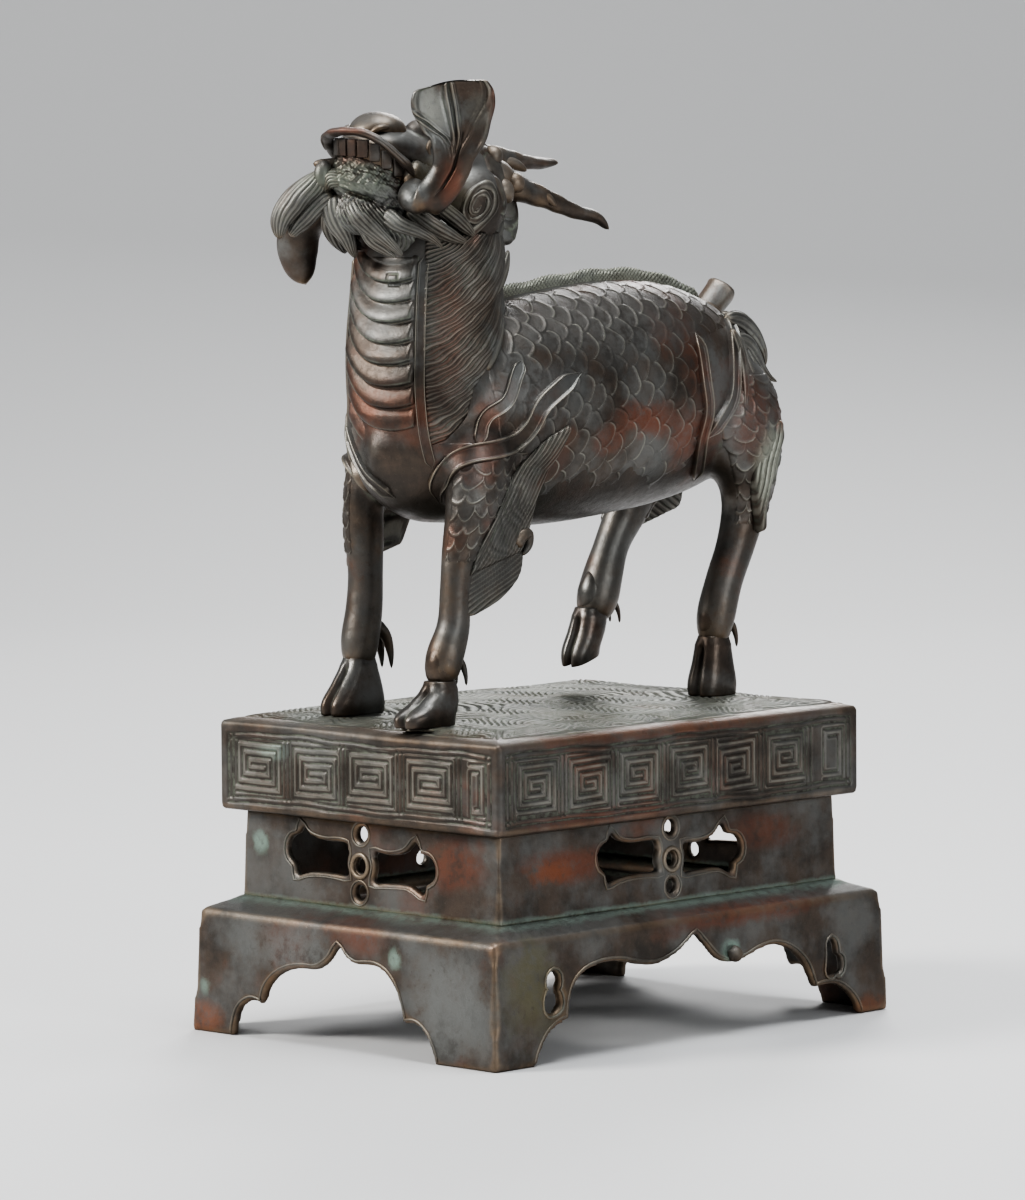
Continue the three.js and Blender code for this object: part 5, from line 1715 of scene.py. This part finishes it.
def foot():
    """The lowest tier: a sloping ledge over aprons with cusped arches and comma-shaped holes."""
    f = FOOT
    lean = f["lean"] / (f["ledge"] - 1)
    shell = tiers("foot_shell", [
        drawn_in(f, 0, 0), drawn_in(f, f["lean"], f["ledge"] - 1), drawn_in(f, f["lean"] + 0.6, f["ledge"]),
        drawn_in(WAIST, -1.4, f["rise"]), drawn_in(WAIST, -0.5, f["rise"] + 0.9),
        drawn_in(WAIST, 1, f["rise"] + 0.9),
    ])
    inner = [
        drawn_in(f, f["wall"], -1),
        drawn_in(f, f["lean"] + f["wall"], f["ledge"] - f["wall"]),
        drawn_in(WAIST, 5, f["rise"] - f["wall"]),
        drawn_in(WAIST, 5, f["rise"] + 2),
    ]
    cut_away(shell, [tiers("hollow", inner)])
    beads = []
    for axis, sign in FACES:
        reach = f[axis]
        face = (axis, sign, lean, reach, 0)
        arch = ARCH_SIDE if axis == "x" else ARCH_FRONT
        holes = []
        if axis == "x":
            holes.append([(a - 55.6, b + 19.2) for a, b in KEYHOLE_NEAR])
            holes.append([(a * 0.94 + 56.8, b * 0.92 + 16.8) for a, b in KEYHOLE_FAR])
        cut_through(shell, [arch, *holes], axis, sign, reach - 7, reach + 2)
        rim = offset_line(arch, RIM_OUT)
        rim = rim[(rim[:, 1] > 0.3) | (np.abs(rim[:, 0]) < 30)]
        beads.append(bead("rim", on_face(rim, *face, RIM_SINK), 0.34, axis, closed=False))
        for line in holes:
            beads.append(bead("rim", on_face(offset_line(line, 0.95), *face, RIM_SINK), 0.38, axis))
    modify(shell, "REMESH", mode="VOXEL", voxel_size=0.98)
    modify(shell, "SMOOTH", factor=0.5, iterations=3)
    uneven(shell, 0.2, 40)
    return shell, joined("foot_rims", beads)


def solder():
    """Rough lumps of solder where three hooves meet the slab, and one under the side arch."""
    made = []
    for x, y, half in ((MIDLINE + 20, -61.8, 8.2), (MIDLINE - 20, -51.7, 10.2), (MIDLINE + 19, 51.8, 7)):

        def ragged(turn, v):
            return 0.5 * np.sin(turn * 5 + x) + 0.35 * np.sin(turn * 9 + y)

        rows = ((87.4, 6.8, half + 0.5), (88.4, 6.4, half + 0.2), (89.3, 5.2, half - 1.2))
        line = [(x, y + 0.9, *row) for row in rows]
        made.append(limb("solder", line, sides=60, steps=10, ends=(0.2, 0.6), relief=ragged, level=True))
    tack = [(58.2, 14.2, 20.4, 1.6, 1.8), (58.9, 15.4, 22.4, 2.2, 2.4), (58, 16, 24.6, 1.2, 1.2)]
    made.append(limb("tack", tack, sides=18, steps=12, ends=(0.4, 0.5)))
    return made


# Finishes


class Value:
    """A shader socket that takes part in Python's arithmetic."""

    def __init__(self, finish, socket):
        self.finish = finish
        self.socket = socket

    def _sum(self, operation, first, second):
        return self.finish.node("ShaderNodeMath", {"operation": operation}, {0: first, 1: second})

    def __add__(self, other):
        return self._sum("ADD", self, other)

    __radd__ = __add__

    def __sub__(self, other):
        return self._sum("SUBTRACT", self, other)

    def __rsub__(self, other):
        return self._sum("SUBTRACT", other, self)

    def __mul__(self, other):
        return self._sum("MULTIPLY", self, other)


class Finish:
    """A node material being written."""

    def __init__(self, name):
        self.material = bpy.data.materials.new(name)
        self.material.use_nodes = True
        self.tree = self.material.node_tree
        self.shader = self.tree.nodes["Principled BSDF"]

    def node(self, kind, settings=None, inputs=None, out=0):
        made = self.tree.nodes.new(kind)
        for name, value in (settings or {}).items():
            setattr(made, name, value)
        for name, value in (inputs or {}).items():
            self.feed(made.inputs[name], value)
        return Value(self, made.outputs[out])

    def feed(self, socket, value):
        if isinstance(value, Value):
            self.tree.links.new(value.socket, socket)
        else:
            socket.default_value = value

    def noise(self, scale, detail, rough=0.55, shift=(0, 0, 0)):
        place = self.node("ShaderNodeTexCoord", out=3)
        moved = self.node("ShaderNodeMapping", {}, {0: place, 1: shift})
        inputs = {"Vector": moved, "Scale": scale, "Detail": detail, "Roughness": rough}
        return self.node("ShaderNodeTexNoise", {}, inputs)

    def step(self, value, low, high):
        return self.node(
            "ShaderNodeMapRange", {"interpolation_type": "SMOOTHSTEP"},
            {"Value": value, "From Min": low, "From Max": high, "To Min": 0.0, "To Max": 1.0},
        )

    def blend(self, share, first, second):
        # In a Mix node set to colour, the factor is input 0 and the two colours are inputs 6 and 7.
        return self.node("ShaderNodeMix", {"data_type": "RGBA"}, {0: share, 6: first, 7: second}, out=2)

    def attribute(self, name):
        return self.node("ShaderNodeAttribute", {"attribute_name": name}, out=2)

    def away(self, at, reach):
        """How far a place lies from a spot given in millimetres, counted in its reach."""
        place = self.node("ShaderNodeTexCoord", out=3)
        spot = tuple(m + a * MM for m, a in zip(MIDDLE, at))
        apart = self.node("ShaderNodeVectorMath", {"operation": "SUBTRACT"}, {0: place, 1: spot})
        share = tuple(1 / (r * MM) for r in reach)
        counted = self.node("ShaderNodeVectorMath", {"operation": "MULTIPLY"}, {0: apart, 1: share})
        return self.node("ShaderNodeVectorMath", {"operation": "LENGTH"}, {0: counted}, out=1)


# The palette. BLACK_BROWN is the dark ground and also the painted shade; SLATE is a patina and also the
# painted sheen; LINE is a pale grey for painted highlights, pale patches and fine specks.
BLACK_BROWN = (0.040, 0.034, 0.029, 1)
BROWN = (0.078, 0.058, 0.045, 1)
SLATE = (0.150, 0.154, 0.148, 1)
RED_BROWN = (0.150, 0.056, 0.034, 1)
RUST = (0.27, 0.088, 0.036, 1)
OLIVE = (0.115, 0.105, 0.060, 1)
VERDIGRIS = (0.165, 0.190, 0.145, 1)
PALE_GREEN = (0.30, 0.43, 0.36, 1)
WORN = (0.34, 0.225, 0.125, 1)
LINE = (0.34, 0.335, 0.285, 1)

# Patches of colour: place and reach in millimetres, colour, strength.
HIDE_PATCHES = [
    ((0, 0, 116), (60, 95, 27), BLACK_BROWN, 0.7), ((0, 0, 116), (60, 95, 27), SLATE, 0.45),
    # The black-brown patch under the chest, at (0, -60, 152), is painted shade.
    ((0, 75, 201), (9, 9, 9), SLATE, 0.95), ((0, -60, 152), (22, 12, 9), BLACK_BROWN, 0.85),
    ((27, 68, 152), (4, 8, 15), VERDIGRIS, 0.9), ((28, 68, 152), (5, 8, 16), LINE, 0.75),
    # The black-brown patch under the belly, at (0, 0, 146), is painted shade.
    ((14, 74, 188), (9, 11, 12), SLATE, 0.8), ((0, 0, 146), (45, 90, 9), BLACK_BROWN, 0.6),
    ((24, -18, 158), (10, 16, 8), BLACK_BROWN, 0.6), ((25, 17, 168), (9, 14, 7), RED_BROWN, 0.9),
    ((23, 35, 163), (9, 10, 7), RED_BROWN, 0.8), ((24, 3, 163), (9, 8, 5), RED_BROWN, 0.6),
    ((24, 60, 168), (7, 8, 14), RED_BROWN, 0.6), ((0, -63, 173), (16, 8, 9), RED_BROWN, 0.3),
    # The slate patch along the top of the flank, at (16, 8, 196), is slate patina with painted sheen where
    # the top catches the light.
    ((17, -52, 196), (5, 6, 22), RED_BROWN, 0.35), ((16, 8, 196), (22, 44, 13), SLATE, 0.7),
    ((20, -28, 180), (12, 14, 12), SLATE, 0.75), ((25, 47, 178), (8, 9, 16), SLATE, 0.8),
    ((6, -64, 200), (10, 8, 14), SLATE, 0.6),
]
CREST_PATCHES = [((0, 25, 207), (20, 62, 14), VERDIGRIS, 0.6), ((0, 25, 209), (20, 62, 12), LINE, 0.45)]
EAR_PATCHES = [
    # The black-brown patch at the stem's bend, at (23, -59, 229), is painted shadow between the lobes.
    ((23, -59, 229), (6, 5, 13), BLACK_BROWN, 0.85), ((27, -60, 234), (4, 5, 9), RED_BROWN, 0.7),
    # The slate and pale patches on the lower lobe and the blade are painted highlights.
    ((19, -65, 236), (4, 5, 8), SLATE, 0.8), ((25, -63, 253), (9, 7, 11), SLATE, 0.95),
    ((22.5, -63, 255), (4.5, 5, 9), LINE, 0.45), ((33, -58, 254), (4, 4, 8), LINE, 0.25),
    ((38, -54, 252), (3, 5, 14), RED_BROWN, 0.6),
]
HEAD_PATCHES = [
    ((0, -70, 226), (30, 16, 12), SLATE, 0.5), ((0, -72, 236), (20, 10, 5), VERDIGRIS, 0.55),
    ((0, -74, 249.6), (14, 6, 2), RED_BROWN, 0.5), ((-2, -66, 244), (15, 12, 3), BLACK_BROWN, 0.75),
    ((12, -52, 234), (10, 12, 8), OLIVE, 0.5),
]
TOP_PATCHES = [((0, 0, 88), (90, 120, 8), VERDIGRIS, 0.4)]
SEAMS = [((0, 0, 37.3), (140, 180, 1.7), PALE_GREEN, 0.38), ((0, 0, 61.7), (140, 180, 0.9), VERDIGRIS, 0.6)]
STAND_PATCHES = [
    ((50, -42, 51), (5, 19, 6), RED_BROWN, 0.9), ((50, -48, 50), (5, 11, 4), RUST, 0.4),
    ((32, -68, 52), (14, 5, 8), RED_BROWN, 0.75), ((51, 38, 54), (5, 18, 6), RED_BROWN, 0.6),
    ((56, 22, 33), (7, 38, 4), RED_BROWN, 0.75), ((55, -4, 86), (5, 64, 2.4), RED_BROWN, 0.6),
    ((54, -34, 64), (4, 34, 3), RED_BROWN, 0.6), ((8, -78, 31), (9, 5, 6), RED_BROWN, 0.6),
    ((-26, -78, 29), (9, 5, 6), RED_BROWN, 0.3), ((-56, -79, 3), (10, 8, 6), RUST, 0.55),
    ((60, 71, 1), (6, 12, 6), RUST, 0.4), ((59, -64, 22), (6, 12, 16), OLIVE, 0.8),
    ((40, -79, 17), (18, 6, 18), SLATE, 0.8), ((-22, -79, 26), (26, 5, 9), SLATE, 0.7),
    ((-43, -67, 53), (4, 4, 4), PALE_GREEN, 0.5), ((20, -78, 26.7), (3, 3, 3.4), PALE_GREEN, 0.6),
    ((-54.5, -79, 13), (3, 4, 3), PALE_GREEN, 0.4), ((-33, -72, 79), (6, 3, 2.6), PALE_GREEN, 0.35),
    ((58.6, 15, 22.6), (4, 4, 4), PALE_GREEN, 0.7),
]


def bronze(
    name, red=0.5, slate=0.5, green=0.5, wear=0.3, line=0.4, gloss=0.36, hollow_dark=0.75, patches=(), over=(),
):
    """Old patinated bronze: brown-black and slate, red-brown patches, green in the hollows, worn edges, and
    painted light: sheen on top, shade underneath and in cuts, highlights on raised lines.
    """
    f = Finish(name)
    wide = f.noise(34.0, 4.0, shift=(0.03, 0.01, 0.02))
    tone = f.noise(95.0, 6.0, 0.62)
    cloud = f.noise(46.0, 5.0, 0.6, shift=(0.2, 0.1, 0.3))
    fine = f.noise(1400.0, 4.0, 0.7)
    grit = f.noise(420.0, 5.0, 0.75)
    relief = f.attribute("relief")
    marks = f.attribute("line")
    up = f.attribute("up")
    ridge = f.step(relief, 0.3, 1.0)
    hollow = f.step(relief * -1.0, 0.1, 0.8)
    painted_highlight = f.step(marks, 0.1, 0.9)
    mark_down = f.step(marks * -1.0, 0.15, 0.9)
    color = f.blend(f.step(tone, 0.34, 0.66), BLACK_BROWN, BROWN)
    # Slate patina in clouds, and painted sheen: more slate on faces that look up.
    color = f.blend(f.step(cloud + up * 0.13, 0.42, 0.66) * slate, color, SLATE)
    color = f.blend(f.step(wide, 0.54, 0.66) * f.step(tone, 0.3, 0.62) * red, color, RED_BROWN)
    ragged = (tone - 0.5) * 2.2 + (grit - 0.5) * 0.9
    mottled = f.step(tone * 0.5 + grit * 0.5, 0.38, 0.56) * 0.7 + 0.3

    def stain(color, spots):
        for at, reach, paint, strength in spots:
            share = (1.0 - f.step(f.away(at, reach) + ragged, 0.45, 1.15)) * mottled * strength
            color = f.blend(share, color, paint)
        return color

    color = stain(color, patches)
    # Painted shade: faces that look down are darkened.
    color = f.blend(f.step(up * -1.0, 0.15, 0.85) * 0.55, color, BLACK_BROWN)
    # Darker in the hollows, and painted shade in the cuts and furrows, with dusty green lying in part of
    # them.
    color = f.blend(f.step(hollow * hollow_dark + mark_down, 0.1, 0.9) * 0.8, color, BLACK_BROWN)
    dust = f.step(grit, 0.36, 0.62) * f.step(cloud + up * 0.1, 0.36, 0.56)
    soil = f.step(hollow + mark_down * 0.7, 0.1, 0.9) * dust
    color = stain(f.blend(soil * green, color, VERDIGRIS), over)
    # Painted highlights: pale along raised rims, crests and glinting edges.
    color = f.blend(painted_highlight * (f.step(tone, 0.3, 0.6) * 0.6 + 0.4) * line, color, LINE)
    worn = ridge * (f.step(tone, 0.35, 0.6) * 0.7 + 0.3) * wear
    color = f.blend(worn, color, WORN)
    color = f.blend(f.step(fine, 0.62, 0.76) * 0.16, color, LINE)
    color = f.blend(f.step(grit, 0.6, 0.72) * 0.35, color, BLACK_BROWN)
    f.feed(f.shader.inputs["Base Color"], color)
    f.feed(f.shader.inputs["Metallic"], 0.8 - soil * green * 0.6)
    rough = gloss + f.step(grit, 0.3, 0.75) * 0.16 + soil * green * 0.3 - worn * 0.06
    f.feed(f.shader.inputs["Roughness"], rough)
    bumps = f.node(
        "ShaderNodeBump", {}, {"Strength": 0.5, "Distance": 0.0003, "Height": grit * 0.7 + fine * 0.3},
    )
    f.feed(f.shader.inputs["Normal"], bumps)
    return f.material


WEAR_ROUNDS, WEAR_DEPTH = 6, 0.22


def neighbour_mean(values, a, b, near):
    """Each point's value drawn half way to the mean of its neighbours."""
    count = len(near)
    total = np.bincount(a, values[b], count) + np.bincount(b, values[a], count)
    return 0.5 * values + 0.5 * total / np.maximum(near, 1)


def weather_and_painted_light(piece):
    """Writes where a piece's surface stands proud or lies hollow, for wear, dirt and darkening, and how far
    it faces up, for dust, painted sheen on top and painted shade underneath.
    """
    mesh = piece.data
    count = len(mesh.vertices)
    ends = np.zeros(len(mesh.edges) * 2, np.int32)
    mesh.edges.foreach_get("vertices", ends)
    a, b = ends.reshape(-1, 2).T
    co = points_of(piece)
    near = np.bincount(a, minlength=count) + np.bincount(b, minlength=count)
    flat = co.copy()
    for _ in range(WEAR_ROUNDS):
        flat = np.stack([neighbour_mean(flat[:, k], a, b, near) for k in range(3)], 1)
    normal = np.zeros(count * 3, np.float32)
    mesh.vertices.foreach_get("normal", normal)
    proud = np.sum((co - flat) * normal.reshape(-1, 3), axis=1)
    values = np.clip(proud / WEAR_DEPTH, -1, 1)
    for _ in range(2):
        values = neighbour_mean(values, a, b, near)
    put(piece, "relief", values)
    put(piece, "up", normal.reshape(-1, 3)[:, 2])
    if "line" not in mesh.attributes:
        put(piece, "line", np.zeros(count))


def settle(piece, material, slot, *nodes, mark=None):
    """Scales a piece from millimetres into the frame, gives it its finish, and rides it on its body."""
    if mark is not None:
        put(piece, "line", np.full(len(piece.data.vertices), mark))
    weather_and_painted_light(piece)
    piece.data.transform(Matrix.Translation(Vector(MIDDLE)) @ Matrix.Scale(MM, 4))
    piece.data.materials.clear()
    piece.data.materials.append(material)
    pick(piece)
    bpy.ops.object.shade_smooth()
    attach(piece, next(iter(frame["bodies"])))
    if nodes:
        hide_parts(*nodes)
    return piece


# The camera, the light and the floor

# Fitted to the photo: degrees, metres, and a lens in millimetres for a sensor 36 mm wide.
CAMERA = dict(
    azimuth=44.6, elevation=4.7, distance=1.8, aside=-0.0077, height=0.1179, roll=0.43, lens=193.86,
)


def camera():
    c = CAMERA
    a, e = math.radians(c["azimuth"]), math.radians(c["elevation"])
    back = Vector((math.sin(a) * math.cos(e), -math.cos(a) * math.cos(e), math.sin(e)))
    right = Vector((math.cos(a), math.sin(a), 0))
    target = Vector(MIDDLE) + right * c["aside"] + Vector((0, 0, c["height"]))
    data = bpy.data.cameras.new("camera")
    data.lens = c["lens"]
    data.sensor_width = 36
    data.clip_start, data.clip_end = 0.05, 50
    made = bpy.data.objects.new("camera", data)
    bpy.context.scene.collection.objects.link(made)
    made.rotation_mode = "QUATERNION"
    made.location = target + back * c["distance"]
    level = Matrix((right, back.cross(right), back)).transposed()
    turn = Matrix.Rotation(math.radians(-c["roll"]), 3, "Z")
    made.rotation_quaternion = (level @ turn).to_quaternion()
    bpy.context.scene.camera = made


LAMPS_AIM = Vector((0, 0, 0.14))


def lamp(name, where, size, power, color):
    data = bpy.data.lights.new(name, "AREA")
    data.shape = "RECTANGLE"
    data.size, data.size_y = size
    data.energy = power
    data.color = color
    made = bpy.data.objects.new(name, data)
    bpy.context.scene.collection.objects.link(made)
    made.location = where
    made.rotation_mode = "QUATERNION"
    made.rotation_quaternion = (Vector(where) - LAMPS_AIM).to_track_quat("Z", "Y")


# Where the sweep begins to rise behind the stand, and how tightly, in metres.
BEND_START, BEND_RADIUS = 1.3, 1.2


def studio():
    """A pale sweep that rises behind the beast, a grey-white sky, and soft lights."""
    world = bpy.data.worlds.new("studio")
    bpy.context.scene.world = world
    world.use_nodes = True
    sky = world.node_tree.nodes["Background"].inputs
    sky["Color"].default_value = (0.80, 0.82, 0.85, 1)
    sky["Strength"].default_value = 0.42
    a = math.radians(CAMERA["azimuth"])
    right = np.array([math.cos(a), math.sin(a), 0])
    back = np.array([-math.sin(a), math.cos(a), 0])

    def sweep(u, v):
        run = -4.0 + 9.0 * v
        turn = np.clip((run - BEND_START) / BEND_RADIUS, 0, math.pi / 2)
        far = np.minimum(run, BEND_START) + BEND_RADIUS * np.sin(turn)
        risen = np.maximum(run - BEND_START - BEND_RADIUS * math.pi / 2, 0)
        high = BEND_RADIUS * (1 - np.cos(turn)) + risen
        return right * ((u - 0.5) * 9)[:, None] + back * far[:, None] + np.array([0, 0, 1]) * high[:, None]

    floor = lattice("floor", 4, 120, sweep, closed=False)
    finish = Finish("pale_floor")
    tone = finish.noise(1.5, 2.0)
    pale = finish.blend(tone * 0.2, (0.60, 0.60, 0.60, 1), (0.54, 0.54, 0.54, 1))
    finish.feed(finish.shader.inputs["Base Color"], pale)
    finish.feed(finish.shader.inputs["Roughness"], tone * 0.1 + 0.6)
    floor.data.materials.append(finish.material)
    pick(floor)
    bpy.ops.object.shade_smooth()
    lamp("key", (-0.75, -1.35, 1.15), (0.6, 0.6), 40, (1.0, 0.985, 0.96))
    lamp("side", (1.6, -0.1, 0.6), (0.4, 0.9), 9, (0.95, 0.98, 1.0))
    lamp("top", (0.15, 0.05, 1.5), (0.7, 0.7), 22, (0.96, 0.98, 1.0))
    lamp("back", (-0.9, 1.2, 0.9), (0.5, 0.5), 12, (1.0, 1.0, 1.0))
    scene = bpy.context.scene
    scene.view_settings.view_transform = "AgX"
    scene.view_settings.look = "AgX - Medium High Contrast"


# Everything made and put in its place

camera()
studio()

hide_finish = bronze(
    "bronze_hide", red=0.5, slate=0.65, green=0.6, wear=0.2, line=0.5, patches=HIDE_PATCHES,
)
hair_finish = bronze(
    "bronze_hair", red=0.7, slate=0.5, green=0.7, wear=0.2, line=0.5, gloss=0.4, patches=HIDE_PATCHES,
)
crest_finish = bronze(
    "bronze_crest", red=0.1, slate=0.9, green=1.0, wear=0.15, line=0.7, gloss=0.45, patches=CREST_PATCHES,
)
head_finish = bronze(
    "bronze_head", red=0.3, slate=0.7, green=1.0, wear=0.2, line=0.5, gloss=0.42, patches=HEAD_PATCHES,
)
ear_finish = bronze(
    "bronze_ear", red=0.35, slate=0.95, green=0.5, wear=0.25, line=0.5, gloss=0.32, patches=EAR_PATCHES,
)
hoof_finish = bronze("bronze_hoof", red=0.2, slate=0.7, green=0.5, wear=0.06, line=0.4, gloss=0.28)
slab_finish = bronze(
    "bronze_slab", red=0.45, slate=0.5, green=0.5, wear=0.12, line=0.4, gloss=0.42, hollow_dark=0.2,
    patches=STAND_PATCHES,
)
wall_finish = bronze(
    "bronze_walls", red=0.5, slate=0.6, green=0.8, wear=0.3, line=0.45, gloss=0.42, patches=STAND_PATCHES,
    over=SEAMS,
)
top_finish = bronze(
    "bronze_top", red=0.15, slate=0.6, green=1.0, wear=0.2, line=0.7, gloss=0.5, patches=TOP_PATCHES,
)

hide = skin()
tree = tree_of(hide)
relief_pieces = [
    flank(tree, 1),
    flank(tree, -1),
    leg_scales("fore_scales_left", tree, FORE_LEFT, (0.1, 0.75), -130, 100, 9, 131),
    leg_scales("fore_scales_right", tree, FORE_RIGHT, (0.1, 0.75), 80, 310, 9, 131),
    leg_scales("hind_scales_left", tree, HIND_LEFT, (0.03, 0.68), -140, 75, 11, 135),
    leg_scales("hind_scales_right", tree, HIND_RIGHT, (0.03, 0.68), 105, 320, 11, 135),
    belly_plates(),
]
mane_pieces = [mane(tree, 1), mane(tree, -1)]
ribbon_pieces = ribbons(tree)

beast = "figure_bronze"
settle(hide, hide_finish, beast, "qilin")
for piece in relief_pieces:
    settle(piece, hide_finish, beast)
for piece in mane_pieces:
    settle(piece, hair_finish, beast)
settle(joined("ribbons", ribbon_pieces), hide_finish, beast)
settle(joined("mane_tips", mane_tips()), hair_finish, beast)
settle(crest(), crest_finish, beast)
settle(joined("tail", tail()), hide_finish, beast)
settle(joined("rump_hair", rump_hair(tree)), hair_finish, beast)
settle(joined("fins", fins(tree)), hair_finish, beast)
settle(joined("hooves", hooves() + pasterns() + spurs()), hoof_finish, beast)
head = head_skin()
head_tree = tree_of(head)
cheek_pieces = swirls(head_tree)
settle(crown(head_tree), hair_finish, beast)
settle(head, head_finish, beast)
settle(joined("muzzle", nose() + lips() + eyes() + mouth()), head_finish, beast)
settle(joined("teeth", teeth()), head_finish, beast)
settle(left_ear(), ear_finish, beast)
settle(right_ear(), ear_finish, beast)
settle(joined("horns", horns()), head_finish, beast)
settle(jaw_front(), head_finish, beast)
settle(joined("beard", beard()), head_finish, beast)
settle(joined("cheeks", cheek_pieces), head_finish, beast)

stand = "stand_bronze"
settle(slab_walls(), slab_finish, stand, "slab")
settle(slab_top(), top_finish, stand)
waist_walls, waist_rims = waist()
settle(waist_walls, wall_finish, stand, "waist")
# The rims are painted pale along their length: a painted highlight on the raised line.
settle(waist_rims, wall_finish, stand, mark=0.5)
foot_shell, foot_rims = foot()
settle(foot_shell, wall_finish, stand, "foot")
# The rims are painted pale along their length: a painted highlight on the raised line.
settle(foot_rims, wall_finish, stand, mark=0.5)
settle(joined("solder", solder()), top_finish, stand)
